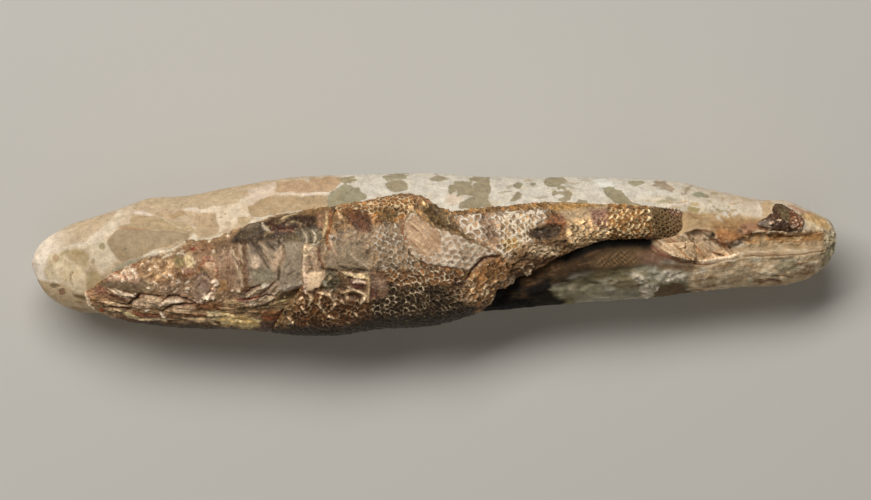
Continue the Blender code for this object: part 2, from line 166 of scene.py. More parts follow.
FRAGMENT_RISE, FRAGMENT_SINK = 1.7, 1.8


def smooth_step(low, high, value):
    """0 up to low and 1 from high on, with a smooth rise between."""
    share = np.clip((value - low) / (high - low), 0, 1)
    return share * share * (3 - 2 * share)


def rounded(value, exponent):
    """A sine or cosine pulled towards a fuller (exponent over 2) or flatter section."""
    return np.sign(value) * np.abs(value) ** (2 / exponent)


def from_line(x, y, line):
    """Distance to a line of points, positive on its left, and how far along it from 0 to 1."""
    line = path(line)
    best, side, place = np.full(x.shape, np.inf), np.ones(x.shape), np.zeros(x.shape)
    for i, (start, end) in enumerate(zip(line[:-1], line[1:])):
        run = end - start
        share = ((x - start[0]) * run[0] + (y - start[1]) * run[1]) / (run @ run)
        near = np.clip(share, 0, 1)
        away = np.hypot(x - start[0] - near * run[0], y - start[1] - near * run[1])
        closer = away < best
        turn = run[0] * (y - start[1]) - run[1] * (x - start[0])
        side = np.where(closer, np.sign(turn) + (turn == 0), side)
        place = np.where(closer, (i + near) / (len(line) - 1), place)
        best = np.where(closer, away, best)
    return best * side, place


def groove(x, y, line, width):
    """1 along the line, fading out over the width and at its two ends."""
    away, place = from_line(x, y, line)
    return np.exp(-((away / width) ** 2)) * smooth_step(0, 0.12, place) * smooth_step(0, 0.12, 1 - place)


def stone_top(x, y):
    """Height of the nodule's bare side at a point seen from above, without its relief."""
    middle = (back_edge(x) + belly_edge(x)) / 2
    half = (back_edge(x) - belly_edge(x)) / 2 + 1e-9
    across = np.clip(np.abs(y - middle) / half, 0, 1)
    return WAIST_HEIGHT + stone_rise(x) * (1 - across**STONE_ROUNDNESS) ** (1 / STONE_ROUNDNESS)


def tail_relief(x, y):
    """The hollow below the stalk, and the scarp and rim that cross the tail's end of the stone."""
    below = fish_belly(np.clip(x, HOLLOW_FROM, HOLLOW_TO)) - y
    hollow = smooth_step(HOLLOW_FROM, HOLLOW_FROM + 6, x) * smooth_step(-HOLLOW_TO, 6 - HOLLOW_TO, -x)
    hollow = hollow * smooth_step(-4, -1, below) * (1 - smooth_step(0.25, 1, below / HOLLOW_REACH))
    scarp, place = from_line(x, y, TAIL_SCARP)
    low = smooth_step(0, SCARP_WIDTH, -scarp) * smooth_step(0, 0.15, place) * smooth_step(0, 0.1, 1 - place)
    rim, _ = from_line(x, y, TAIL_RIM)
    low = low * smooth_step(-RIM_WIDTH, RIM_WIDTH, rim)
    return RIM_RISE * groove(x, y, TAIL_RIM, RIM_WIDTH) - SCARP_DROP * low - HOLLOW_DEPTH * hollow


def bed(x, y):
    """How far the stone is sunk under the fish, so that nothing of it stands over the scales."""
    inward = np.minimum(fish_back(x) - y, y - fish_belly(x))
    within = smooth_step(FISH_LOW, FISH_LOW + BED_EDGE, x) * smooth_step(-FISH_HIGH, BED_EDGE - FISH_HIGH, -x)
    return BED_DEPTH * within * smooth_step(0, BED_EDGE, inward)


def stone_surface(x, angle):
    """The nodule's skin round a section at x."""
    middle, half = (back_edge(x) + belly_edge(x)) / 2, (back_edge(x) - belly_edge(x)) / 2
    y = middle + half * rounded(np.cos(angle), STONE_ROUNDNESS)
    height = rounded(np.sin(angle), STONE_ROUNDNESS)
    lumps = sum(h * np.sin(2 * np.pi * x / wave + n * angle + phase) for wave, n, phase, h in STONE_LUMPS)
    z = WAIST_HEIGHT + height * (np.where(height > 0, stone_rise(x), stone_depth(x)) + lumps)
    z = z + (tail_relief(x, y) - bed(x, y)) * smooth_step(0.2, 0.6, height)
    return np.stack([x, y, np.maximum(z, 0)], axis=-1)


def fish_surface(x, angle):
    """The fish's skin: each section leans from the back's edge down to the belly's edge."""
    back_y, belly_y = fish_back(x), fish_belly(x)
    back_z = stone_top(x, back_y) + BACK_PROUD
    belly_z = np.minimum(belly_height(x), back_z + 1)
    half_y, half_z = (back_y - belly_y) / 2, (back_z - belly_z) / 2
    half = np.hypot(half_y, half_z) + 1e-9
    lean_y, lean_z = half_y / half, half_z / half
    out = rounded(np.sin(angle), FISH_ROUNDNESS)
    out = out * np.where(out > 0, fish_bulge(x), fish_depth(x))
    across = half * rounded(np.cos(angle), FISH_ROUNDNESS)
    dual = FISH_ROUNDNESS / (FISH_ROUNDNESS - 1)
    lean_share = np.clip(fish_bulge(x) * lean_z / (half * lean_y + 1e-9), 0, 0.95)
    across = across * np.where(across < 0, (1 - lean_share**dual) ** (1 / dual), 1)
    y = (back_y + belly_y) / 2 + across * lean_y - out * lean_z
    z = (back_z + belly_z) / 2 + across * lean_z + out * lean_y
    fault, place = from_line(x, y, BODY_FAULT)
    behind = smooth_step(0, 1, fault / (FAULT_WIDTH * (1.05 - place)))
    drop = FAULT_DROP * behind * (1 - 0.75 * place) * smooth_step(0.05, 0.5, np.sin(angle))
    return np.stack([x, y, z - drop], axis=-1)


# ---------------------------------------------------------------- noise, by formula


def random_at(ix, iy, iz, seed):
    """A repeatable random number from 0 to 1 for each whole-numbered place."""
    n = ix.astype(np.uint32) * np.uint32(0x9E3779B1)
    n ^= iy.astype(np.uint32) * np.uint32(0x85EBCA77)
    n ^= iz.astype(np.uint32) * np.uint32(0xC2B2AE3D)
    n ^= np.uint32((seed * 0x27D4EB2F) & 0xFFFFFFFF)
    for shift, factor in ((15, 0x2C1B3C6D), (12, 0x297A2D39)):
        n ^= n >> np.uint32(shift)
        n *= np.uint32(factor)
    return (n ^ (n >> np.uint32(15))) / 4294967295.0


def noise(points, size, seed):
    """Smooth noise from -1 to 1, with lumps of the given size: one number, or one for each axis."""
    p = points / np.array(size, float)
    cell = np.floor(p).astype(np.int64)
    f = p - cell
    f = f * f * f * (f * (f * 6 - 15) + 10)
    total = 0
    for dx, dy, dz in product((0, 1), repeat=3):
        weight = np.abs(1 - dx - f[..., 0]) * np.abs(1 - dy - f[..., 1]) * np.abs(1 - dz - f[..., 2])
        total = total + weight * random_at(cell[..., 0] + dx, cell[..., 1] + dy, cell[..., 2] + dz, seed)
    return 2 * total - 1


def rough_noise(points, size, octaves, seed):
    """Noise in several sizes, each half the last."""
    size, total, weight = np.array(size, float), 0, 0
    for octave in range(octaves):
        total = total + noise(points, size / 2**octave, seed + octave) * 0.5**octave
        weight += 0.5**octave
    return total / weight


def chips(points, size, seed):
    """Cells of random flat height, as broken crystal has: the height from 0 to 1, and how near an edge."""
    p = points / size
    cell = np.floor(p).astype(np.int64)
    first, second = np.full(p.shape[:-1], 9.0), np.full(p.shape[:-1], 9.0)
    height = np.zeros(p.shape[:-1])
    for step in product((-1, 0, 1), repeat=3):
        place = cell + step
        *jitter, level = (random_at(*np.moveaxis(place, -1, 0), seed + k) for k in (0, 1, 2, 3))
        away = np.linalg.norm(place + np.stack(jitter, -1) - p, axis=-1)
        nearest = away < first
        second = np.where(nearest, first, np.minimum(second, away))
        height = np.where(nearest, level, height)
        first = np.where(nearest, away, first)
    return height, second - first


# ---------------------------------------------------------------- a skin: a closed surface to raise and paint


def linear(colour):
    """A display colour, written "#rrggbb", as linear light."""
    return np.array([((int(colour[i : i + 2], 16) / 255 + 0.055) / 1.055) ** 2.4 for i in (1, 3, 5)])


def polygon_depth(x, y, outline):
    """Distance in from a closed outline, negative outside it."""
    outline = path(outline)
    outline = np.concatenate([outline, outline[:1]])
    within = np.zeros(x.shape, bool)
    for (x0, y0), (x1, y1) in zip(outline[:-1], outline[1:]):
        if y0 != y1:
            within ^= ((y0 > y) != (y1 > y)) & (x < (x1 - x0) * (y - y0) / (y1 - y0) + x0)
    return np.where(within, 1, -1) * np.abs(from_line(x, y, outline)[0])


def oval_depth(x, y, centre, radii, turn):
    """About the distance in from an ellipse turned by some degrees, negative outside it."""
    c, s = math.cos(math.radians(turn)), math.sin(math.radians(turn))
    along = ((x - centre[0]) * c + (y - centre[1]) * s) / radii[0]
    across = ((y - centre[1]) * c - (x - centre[0]) * s) / radii[1]
    return (1 - np.hypot(along, across)) * min(radii)


def lattice_edge(u, v, ratio):
    """How far in from the edge of its six-sided cell a point is, where in the cell, and which cell."""
    first, second = np.stack([np.round(u), np.round(v)]), np.stack([np.floor(u), np.floor(v)]) + 0.5
    scale = np.stack([ratio, np.ones_like(u)])
    here = np.stack([u, v])
    closer = np.linalg.norm((here - first) * scale, axis=0) < np.linalg.norm((here - second) * scale, axis=0)
    cell = np.where(closer, first, second)
    local = (here - cell) * scale
    qx, qy = np.abs(local)
    reach = np.hypot(ratio, 1) / 2
    slant = reach / 2 - (qx * ratio / 2 + qy / 2) / reach
    near_edge = np.minimum(np.minimum(0.5 - qy, ratio / 2 - qx), slant)
    return near_edge, local, np.round(2 * cell).astype(np.int64)


EVERYWHERE = slice(None)


class Skin:
    """Rings of points round the X axis between two end points, with what is raised and painted on them."""

    def __init__(self, surface, places, around, crowding, ends, ragged=0.25, lowest=-0.35):
        """Crowding gathers a ring's points on its bare side, and ragged is how far outlines stray.

        Marks fade out where the skin turns down past lowest, the height part of its normal."""
        angle = np.arange(around) * 2 * np.pi / around - np.pi
        angle = angle + crowding * np.cos(angle)
        x, angle = np.meshgrid(places, angle, indexing="ij")
        rows = surface(x, angle)
        turning = np.roll(rows, -1, axis=1) - np.roll(rows, 1, axis=1)
        normal = np.cross(turning, np.gradient(rows, axis=0))
        normal /= np.linalg.norm(normal, axis=2, keepdims=True) + 1e-12
        steps = np.linalg.norm(np.roll(rows, -1, axis=1) - rows, axis=2)
        start = int(np.argmin(np.abs(angle[0])))
        girth = np.cumsum(steps, axis=1)
        self.girth = (girth - girth[:, start : start + 1]).ravel()
        self.shape = x.shape
        self.points, self.normal = rows.reshape(-1, 3), normal.reshape(-1, 3)
        self.x, self.y, self.z = self.points.T
        self.out = np.sin(angle).ravel()
        self.bare = self.out > -0.75
        drop = self.normal[:, 2] - lowest + 0.35 * ragged * rough_noise(self.points, 5, 3, 12)
        self.reach = smooth_step(-0.1, 0.1, drop)
        self.hidden = np.zeros(self.out.shape)
        self.ends = ends
        drift = [rough_noise(self.points, 2.4, 3, seed) * ragged for seed in (11, 23)]
        self.ragged_x, self.ragged_y = self.x + drift[0], self.y + drift[1]
        count = len(self.x)
        self.relief = np.zeros(count)
        self.tint, self.net_tint = np.ones((count, 3)), np.ones((count, 3))
        self.net, self.lattice, self.calm = np.zeros(count), np.zeros((count, 3)), np.zeros(count)
        self.blotch, self.blotch_tint = np.full(count, -9.0), np.ones((count, 3))

    def close_by(self, points, margin):
        """The index of the bare side's points in the box round some points."""
        points = path(points)
        low, high = points.min(axis=0) - margin, points.max(axis=0) + margin
        x, y = self.ragged_x, self.ragged_y
        return np.flatnonzero(self.bare & (x > low[0]) & (x < high[0]) & (y > low[1]) & (y < high[1]))

    def within(self, outline, margin):
        """The points inside an outline or near it, and how deep inside it each one lies."""
        at = self.close_by(outline, margin)
        return at, polygon_depth(self.ragged_x[at], self.ragged_y[at], outline)

    def within_oval(self, centre, radii, turn, margin):
        """The points inside an ellipse or near it, and how deep inside it each one lies."""
        at = self.close_by([centre], margin + max(radii))
        return at, oval_depth(self.ragged_x[at], self.ragged_y[at], centre, radii, turn)

    def inside(self, outline, soft):
        """The points inside an outline or near it, and a mask that fades across its edge."""
        at, depth = self.within(outline, soft + 0.5)
        return at, smooth_step(-soft, soft, depth)

    def weather(self, size, amount, stain, seed, at=EVERYWHERE, mask=1.0):
        """Uneven ground: raise noise, and leave its low places darker."""
        bump = mask * (1 - 0.7 * self.calm[at]) * rough_noise(self.points[at], size, 3, seed)
        self.relief[at] += amount * bump
        self.tint[at] *= 1 + stain * bump[:, None]

    def crumble(self, size, amount, stain, seed, outline=None):
        """Broken ground: flat chips of random height and shade, with dark cracks between them."""
        places = np.stack([self.ragged_x, self.ragged_y, self.z], axis=-1)
        at, mask = EVERYWHERE, 1.0
        if outline:
            at, mask = self.inside(outline, 0.6)
            mask = mask * self.reach[at]
        height, edge = chips(places[at], size, seed)
        crack = 1 - smooth_step(0.03, 0.18, edge)
        mask = mask * (1 - 0.7 * self.calm[at])
        self.relief[at] += mask * amount * (height - 0.5 - 0.7 * crack)
        self.tint[at] *= (1 + mask * stain * (2 * (height - 0.5) - 0.7 * crack))[:, None]

    def mark(self, at, mask, height=0.0, colour=None, cover=1.0, net=None, lumps=None, calm=None):
        """Raise and paint the points of the index at, as far as the mask covers them."""
        if at is not EVERYWHERE:
            mask = mask * self.reach[at]
        self.relief[at] += mask * height
        share = (mask * cover)[:, None]
        if colour:
            self.tint[at] += share * (linear(colour) - self.tint[at])
        if net is not None:
            self.net[at] += mask * (net - self.net[at])
        if calm is not None:
            self.calm[at] += mask * (calm - self.calm[at])
        if lumps:
            self.weather(lumps[0], lumps[1], min(0.9, 1.6 * lumps[1]), 5, at, mask)

    def coat(self, colour, mask=1.0, **look):
        """Paint the whole skin, as far as the mask covers it."""
        self.mark(EVERYWHERE, mask * np.ones_like(self.x), colour=colour, **look)

    def area(self, outline, soft, colour=None, **look):
        """Mark the inside of a closed outline."""
        at, mask = self.inside(outline, soft)
        self.mark(at, mask, colour=colour, **look)

    def oval(self, centre, radii, turn, soft, colour=None, dome=0.0, **look):
        """Mark the inside of an ellipse, raised to a dome if asked."""
        at, depth = self.within_oval(centre, radii, turn, soft + 0.5)
        self.relief[at] += dome * np.sqrt(np.clip(depth / min(radii), 0, 1))
        self.mark(at, smooth_step(-soft, soft, depth), colour=colour, **look)

    def line(self, points, width, colour=None, **look):
        """Mark a stroke along a line, thinner towards its ends."""
        at = self.close_by(points, 3 * width + 0.3)
        away, place = from_line(self.ragged_x[at], self.ragged_y[at], points)
        width = width * (0.35 + 0.65 * np.sin(np.pi * np.clip(place, 0.05, 0.95)) ** 0.5)
        self.mark(at, np.exp(-((away / width) ** 2)), colour=colour, **look)

    def veins(self, outline, size, height, colour, turn, seed):
        """Raise and paint long streaks that lie at some degrees to X, inside an outline."""
        at, mask = self.inside(outline, 0.5)
        c, s = math.cos(math.radians(turn)), math.sin(math.radians(turn))
        x, y, z = self.points[at].T
        turned = np.stack([x * c + y * s, y * c - x * s, z], axis=-1)
        streak = rough_noise(turned, (size[0], size[1], 2 * size[1]), 3, seed)
        self.relief[at] += self.reach[at] * mask * height * streak
        self.mark(at, mask * smooth_step(0.0, 0.5, streak), colour=colour)

    def beads(self, points, count, size, seed, spread=0.3, **look):
        """Scatter small ragged spots along a line."""
        chance = np.random.default_rng(seed)
        ends = path(points)
        length = np.concatenate([[0], np.cumsum(np.hypot(*np.diff(ends, axis=0).T))])
        for place in chance.uniform(0, length[-1], count):
            centre = [np.interp(place, length, ends[:, axis]) + spread * chance.normal() for axis in (0, 1)]
            radii = size * chance.uniform(0.5, 1.3), size * chance.uniform(0.3, 0.8)
            self.oval(centre, radii, chance.uniform(-90, 90), 0.12, **look)

    def blotches(self, at, depth, colour):
        """Blotches with crisp edges where the depth is over 0; they shrink towards the hidden side."""
        depth = depth - self.hidden[at]
        self.blotch_tint[at[depth > self.blotch[at]]] = linear(colour)
        self.blotch[at] = np.maximum(self.blotch[at], depth)

    def raise_lattice(self, height):
        """Raise the net between the cells, tip each cell its own way, and give each its own shade, with
        painted light: each cell lighter towards its rear, painted shadow on its front rim, and the net kept
        mostly on its lit side.
        """
        near_edge, local, cell = lattice_edge(*self.lattice.T)
        chance = [random_at(cell[0], cell[1], np.zeros_like(cell[0]), seed) for seed in (1, 2, 3, 4)]
        rim = 1 - smooth_step(0.02, 0.22, near_edge)
        rear = smooth_step(-0.35, 0.35, 0.8 * local[0] - 0.6 * local[1])
        worn = smooth_step(-0.5, 0.3, noise(self.points, 1.0, 53))
        worn = worn * smooth_step(-0.8, 0.0, noise(self.points, 3.5, 54))
        tip = (0.5 + 0.9 * (chance[0] - 0.5)) * local[0] + 0.9 * (chance[1] - 0.5) * local[1]
        net = np.minimum(self.net, 1) * (1 - self.calm)
        full = 0.55 * smooth_step(1.3, 1.6, self.net)
        self.relief += net * height * (rim * (0.4 + 0.6 * rear) + tip + 0.6 * (chance[2] - 0.5))
        # Painted light: cells lighter towards the rear, and painted shadow along the front rim; the per-cell
        # chance is the cell's own tone.
        shade = 1 + net * (1.0 * chance[3] ** 1.5 - 0.35 + 0.35 * local[0] - 0.5 * rim * (1 - rear))
        self.tint *= np.maximum(shade, 0.25)[:, None]
        # Painted highlight: the net lines are kept mostly on each cell's lit rear side and fade on the
        # shadowed front.
        self.net *= (0.2 + full + (0.8 - full) * worn) * (0.25 + full + (0.75 - full) * rear)

    def finished(self, name, material, slot, nodes):
        """Make the object: it rides on the only body, and stands for the nodes given."""
        points = np.clip(self.points + self.normal * self.relief[:, None], BOX_LOW, BOX_HIGH)
        rings, around = self.shape
        rows = points.reshape(rings, around, 3)
        first, last = rows[0].mean(axis=0), rows[-1].mean(axis=0)
        if self.ends:
            first[0], last[0] = self.ends
        ring, step = np.meshgrid(np.arange(rings - 1), np.arange(around), indexing="ij")
        ahead = (step + 1) % around
        here, beyond = ring * around, (ring + 1) * around
        quads = np.stack([here + step, here + ahead, beyond + ahead, beyond + step], axis=-1).reshape(-1, 4)
        count = rings * around
        turn, on = np.arange(around), (np.arange(around) + 1) % around
        base = count - around
        fans = [(count, b, a) for a, b in zip(turn, on)]
        fans += [(count + 1, base + a, base + b) for a, b in zip(turn, on)]
        mesh = bpy.data.meshes.new(name)
        corners = np.concatenate([points, [first, last]]) * MM
        mesh.from_pydata(corners.tolist(), [], quads.tolist() + [tuple(map(int, fan)) for fan in fans])
        for kind in ("tint", "net_tint", "blotch_tint"):
            self.store(mesh, kind, "FLOAT_COLOR", "color", np.c_[getattr(self, kind), np.ones(count)])
        self.store(mesh, "lattice", "FLOAT_VECTOR", "vector", self.lattice)
        for kind in ("net", "blotch", "calm"):
            self.store(mesh, kind, "FLOAT", "value", getattr(self, kind)[:, None])
        mesh.shade_smooth()
        made = bpy.data.objects.new(name, mesh)
        bpy.context.scene.collection.objects.link(made)
        mesh.materials.append(material)
        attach(made, "root")
        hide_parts(*nodes)
        return made

    def store(self, mesh, name, kind, field, values):
        """Keep one value for each point, with the end rings' means at the two end points."""
        around = self.shape[1]
        values = np.concatenate([values, [values[:around].mean(axis=0)], [values[-around:].mean(axis=0)]])
        mesh.attributes.new(name, kind, "POINT").data.foreach_set(field, np.ravel(values).astype(np.float32))


BOX_LOW, BOX_HIGH = (np.array(corner) / MM for corner in CAD_BOX)


def ring_places(low, high, count, low_ramp, high_ramp, fine=0.0, fine_from=0):
    """Where the rings lie from low to high, closer together over the first and last few, and where asked."""
    turn = np.arange(count) + 0.5
    steps = np.minimum(1, turn / low_ramp) * np.minimum(1, (count - turn) / high_ramp)
    steps = steps * (1 - fine * smooth_step(-20, 20, turn - fine_from))
    return low + (high - low) * (np.cumsum(steps) - steps / 2) / steps.sum()


def fin_surface(x, angle):
    """The tail fin's blank, a thin lens let into the stone."""
    middle, half = (fin_upper(x) + fin_lower(x)) / 2, (fin_upper(x) - fin_lower(x)) / 2
    y = middle + half * np.cos(angle)
    share = np.clip((x - FIN_ROOT) / (FIN_TIP - FIN_ROOT), 0, 1)
    thin = np.sin(angle) * np.sin(np.pi * share) ** 0.6
    z = stone_top(x, y) + tail_relief(x, y) + thin * np.where(thin > 0, FIN_PROUD, FIN_THICKNESS)
    return np.stack([x, y, z], axis=-1)


def chip_surface(level, angle):
    """The loose chip by the tail, in levels from its underside up to its crest."""
    outline = path(FRAGMENT_OUTLINE)
    centre = outline.mean(axis=0)
    arms = outline - centre
    bearings = np.arctan2(arms[:, 1], arms[:, 0])
    order = np.argsort(bearings)
    reach = np.interp(angle, bearings[order], np.hypot(*arms.T)[order], period=2 * np.pi)
    flat = np.cos(np.pi / 2 * level) ** 0.6
    x, y = centre[0] + reach * flat * np.cos(angle), centre[1] + reach * flat * np.sin(angle)
    lift = rounded(np.sin(np.pi / 2 * level), 2.6)
    z = stone_top(x, y) + tail_relief(x, y) + np.where(lift > 0, FRAGMENT_RISE, FRAGMENT_SINK) * lift
    return np.stack([x, y, z], axis=-1)


# ---------------------------------------------------------------- the stone

CRUST, PEACH, BEIGE = "#e2d9c8", "#ffeed8", "#d0b898"
SAND, BUFF, OLIVE = "#d0b896", "#b19b7c", "#aa9c80"
MOSS, UMBER, MILK = "#a0997e", "#7e694f", "#e8d6bc"

BLOTCHES = (
    ("-59.8,11.4 -51,12.2 -46.4,13.1 -39.9,14.3 -38.8,14.1 -39,12.2 -40.1,11.8 -40.7,10.8 -45.1,9.9 "
     "-48.7,9.7 -51,9.9 -55.2,10.1 -59.3,9.7", SAND),
    ("-67.5,3.2 -66.7,4.5 -65.2,5.1 -62.5,5.1 -59.3,5.1 -55.2,5 -51,4.5 -50.1,3.5 -54.1,2.2 -58.3,0.7 "
     "-61.4,-0.7 -63.5,-1.4 -65,-1.6 -65.6,-1.2 -66.4,0.3 -67.3,1.8", BUFF),
    ("-32.6,15 -30.7,15.4 -27.8,15.8 -27.1,15.6 -26.3,15.2 -25.5,16 -21.9,16.4 -19.6,16.2 -19,15.2 -20,14.3 "
     "-20.9,13.4 -22.1,13.1 -23.2,12.9 -26.3,12.7 -28.6,13 -30.1,13.1 -32.6,12.9 -33.1,13.6", "#c8a886"),
    ("-38.6,10.1 -36.5,11 -34.7,12 -32.4,12.1 -28.6,12.2 -25.5,12.3 -22.1,12.4 -21.7,11.4 -21.9,10.1 "
     "-23.8,9.5 -26.9,9.2 -30.1,8.7 -32.4,8.4 -35.9,7.8 -37.4,8.1 -38.2,9.1", "#c4a985"),
    ("-20,16 -18.6,16.2 -16.5,16.2 -16,15.8 -17.1,15 -19,15 -20,15.4", "#ac9d7e"),
    ("-22.1,12.2 -21.5,13 -20,13.9 -18.5,14.5 -17.3,14.5 -15.6,13.9 -15.2,13.1 -14,12.2 -14,11.3 -16,10.6 "
     "-19,10.1 -21.5,9.7 -22.1,9.9 -22.3,11.4", "#a89e82"),
    ("-49.3,8.5 -45.3,8.5 -44.9,7.1 -44.6,5.8 -44.7,4.5 -46.8,3.7 -49.1,3.9 -49.5,6.2", "#c6ab89"),
    ("-56.4,8.1 -53.9,8.5 -53.1,9.3 -51.8,9.3 -51.8,8.5 -53.5,7.4 -54.7,7.6", "#c0a27c"),
    ("-40.7,7.4 -39.9,7.8 -38.8,7.9 -38,7.4 -38,6.6 -39.5,6.3 -40.7,6.6", "#ceb58e"),
    ("-10.8,16.4 -9.6,15.6 -7.7,15.8 -5.6,15.8 -5.2,16.8 -7.5,17.3", "#b0a488"),
    ("4.7,15.4 7,15.6 8.8,16.4 11.8,16.4 11.8,13.5 11.3,11.4 12,10.1 8.6,9.5 4.9,9.3 5.5,10.6 7,11.4 8.2,12 "
     "6.1,12.4 4.9,12.2 4.2,13.7 3.4,12.2 2.8,12.9 3,14.3", OLIVE),
    ("15.7,10.8 16.6,12.2 17.6,13.1 18.7,12.7 18.2,11.6 17,11.2", OLIVE),
    ("22.8,15.4 23.9,16.2 25.6,16.6 27,16 28.1,15.2 26.4,14.1 24.3,14.1 23.3,14.5", "#aea183"),
    ("35,14.1 36.2,14.5 37.9,13.9 39.6,12.9 40.6,11.6 41.9,10.8 43.3,10.1 41.9,9.7 39.4,9.7 37.3,11 "
     "35.8,12.2", "#a89d80"),
    ("40.4,15.2 41.7,15.6 44.4,15.4 43.1,14.5 41.5,14.3", "#b0a688"),
    ("45.6,14.7 46.7,15.4 49,14.7 50,13.9 49.4,13.3 47.7,13.7", "#b6a28a"),
    ("46.1,-8.1 46.9,-7 48.1,-6.4 49.8,-6 51.7,-6.2 52.7,-7.4 53.6,-9.1 46.1,-9.9", UMBER),
)
BLOTCH_SPOTS = (
    ((-7.7, 14.3), (2.3, 1.4), 0, OLIVE), ((0.9, 15.7), (1.7, 0.6), 0, "#b0a288"),
    ((17.4, 14.5), (0.9, 0.7), 0, MOSS), ((20.5, 14.7), (0.7, 0.5), 20, MOSS),
    ((26.6, 12.4), (1.9, 1.5), 0, OLIVE), ((30.6, 10.9), (1.2, 0.7), 0, OLIVE),
    ((55.3, 12.4), (1.5, 0.6), 0, "#a4a286"), ((49.2, 11.6), (1.2, 0.5), 0, "#bcb298"),
    ((-78.8, -0.9), (0.6, 1.0), 0, "#c4a684"), ((-68.6, 1.7), (0.6, 0.8), 0, "#ac9c78"),
    ((-70.7, -1.4), (0.4, 0.5), 0, "#bea582"), ((-77.3, -7.8), (0.7, 0.8), 0, "#9e7e60"),
    ((-78.6, -6.6), (1.5, 0.5), -8, "#a48c6e"), ((-42.8, 6.2), (0.8, 0.8), 0, "#d6c0a0"),
)
BLOTCH_HOLES = (
    "7.8,15 8.4,15.4 9,15.2 8.4,14.5 7.8,14.7", "7.8,13.3 8.2,14.1 8.6,14.5 8.4,13.5 8,12.9",
    "24.7,13.3 26,13.5 27.4,13.5 26.4,13.1 25.6,12.9", "4.4,13.5 4.9,13.9 4.9,12.7 4.4,12.2",
    "23.9,11.8 25.6,12.4 27,12.2 25.6,11.6",
)
# Ground on the bare end, from the widest patch to the narrowest: a branching pale band, wedges and strips.
GROUND = (
    ("-66,6.4 -62.7,8.5 -59.3,8.1 -56.2,7.2 -53.1,6.8 -49.5,6 -49.5,3.9 -51.8,4.7 -59.3,5.3 -65.2,5.3",
     "#c2a984"),
    ("-62.7,10.1 -59.3,10.8 -55.2,9.7 -51,9.7 -51,8.5 -53.9,7.4 -57.2,7.8 -61.4,8.7", "#d0b696"),
    ("-66.4,8.9 -64.4,10.1 -62.7,10.4 -62.7,8.5 -63.1,6.8 -65.4,6.4 -65.8,7.6", "#e0caac"),
    ("-83,-5.3 -80.2,-5.5 -77.1,-6 -75.4,-7.4 -72.7,-8.5 -72.3,-11.4 -75.2,-11.2 -78.2,-9.9 -80.7,-8.5 "
     "-82.1,-7", "#d8be98"),
    ("-80.2,0.3 -77.3,0.1 -74.4,-1.8 -72.5,-3.5 -72.1,-5.1 -72.1,-7.6 -73.6,-8.1 -75.2,-7.2 -76.9,-5.5 "
     "-79.2,-5.3 -80.7,-5.1 -81.1,-3.2 -80.7,-1.6", "#e2ceac"),
    ("-76.9,0.1 -73.1,0.3 -72.1,-1.4 -72.3,-2.4 -74.4,-1.8", "#c6ae88"),
    ("-72.1,-3.5 -70.2,-3.5 -69,-4.3 -68.5,-5.5 -69.8,-6.4 -71.5,-7.4 -72.1,-7.2 -72.3,-5.5", "#c0aa82"),
    ("-72.7,0.7 -71,2.2 -69,3.2 -67.7,3.7 -67.3,2 -66.7,0.7 -66,-0.5 -65.4,-1.2 -66.2,-1.8 -67.3,-2.8 "
     "-69,-4.3 -69.8,-3.2 -70,-2.2 -71.5,-1.4 -72.1,-0.1", "#dccaae"),
    ("-80.2,-0.3 -79.2,1.6 -77.5,1.6 -75.6,2 -73.1,2.6 -71,4.1 -69.4,5.3 -67.9,6.6 -66.7,7.8 -66.4,9.3 "
     "-64.8,9.3 -65.2,7.6 -65.6,6.4 -66,5.1 -67.3,4.1 -69,3.2 -71,2.2 -72.7,1.2 -74.8,0.9 -77.3,0.7 "
     "-78.8,0.5", MILK),
    ("-39,12.2 -38.4,13.5 -35.9,14.3 -33.2,15.2 -32.6,14.3 -33.2,13.1 -32.8,12.4 -34.2,12 -35.9,11 -38,10.1 "
     "-39,10.8", "#e6d0b8"),
    ("-51.8,9.5 -51,9.7 -48.7,9.6 -45.1,9.9 -41.6,10.8 -40.3,11.4 -39.3,12.2 -38.6,11.4 -38.4,10.1 -38.6,8.9 "
     "-37.6,8.3 -38.4,7.8 -40.5,7.4 -40.9,6.4 -42.8,5.5 -44.5,4.5 -44.7,6 -44.9,7.4 -45.3,8.7 -48.9,8.7 "
     "-51,8.9", "#e8d4b8"),
    ("-75.2,-8.2 -74,-8.3 -72.5,-8.6 -72.7,-9.5 -73.8,-9.3 -74.6,-8.9", "#846e4c"),
    ("2.6,12.2 3.8,13.3 5.1,12.2 6.7,11.8 5.1,10.6 3.8,9.9 2.6,10.6", "#ecd8c0"),
    ("33.3,15.4 35.6,16 37.5,15 37.1,13.5 35.2,13.9", "#f0ece0"),
)


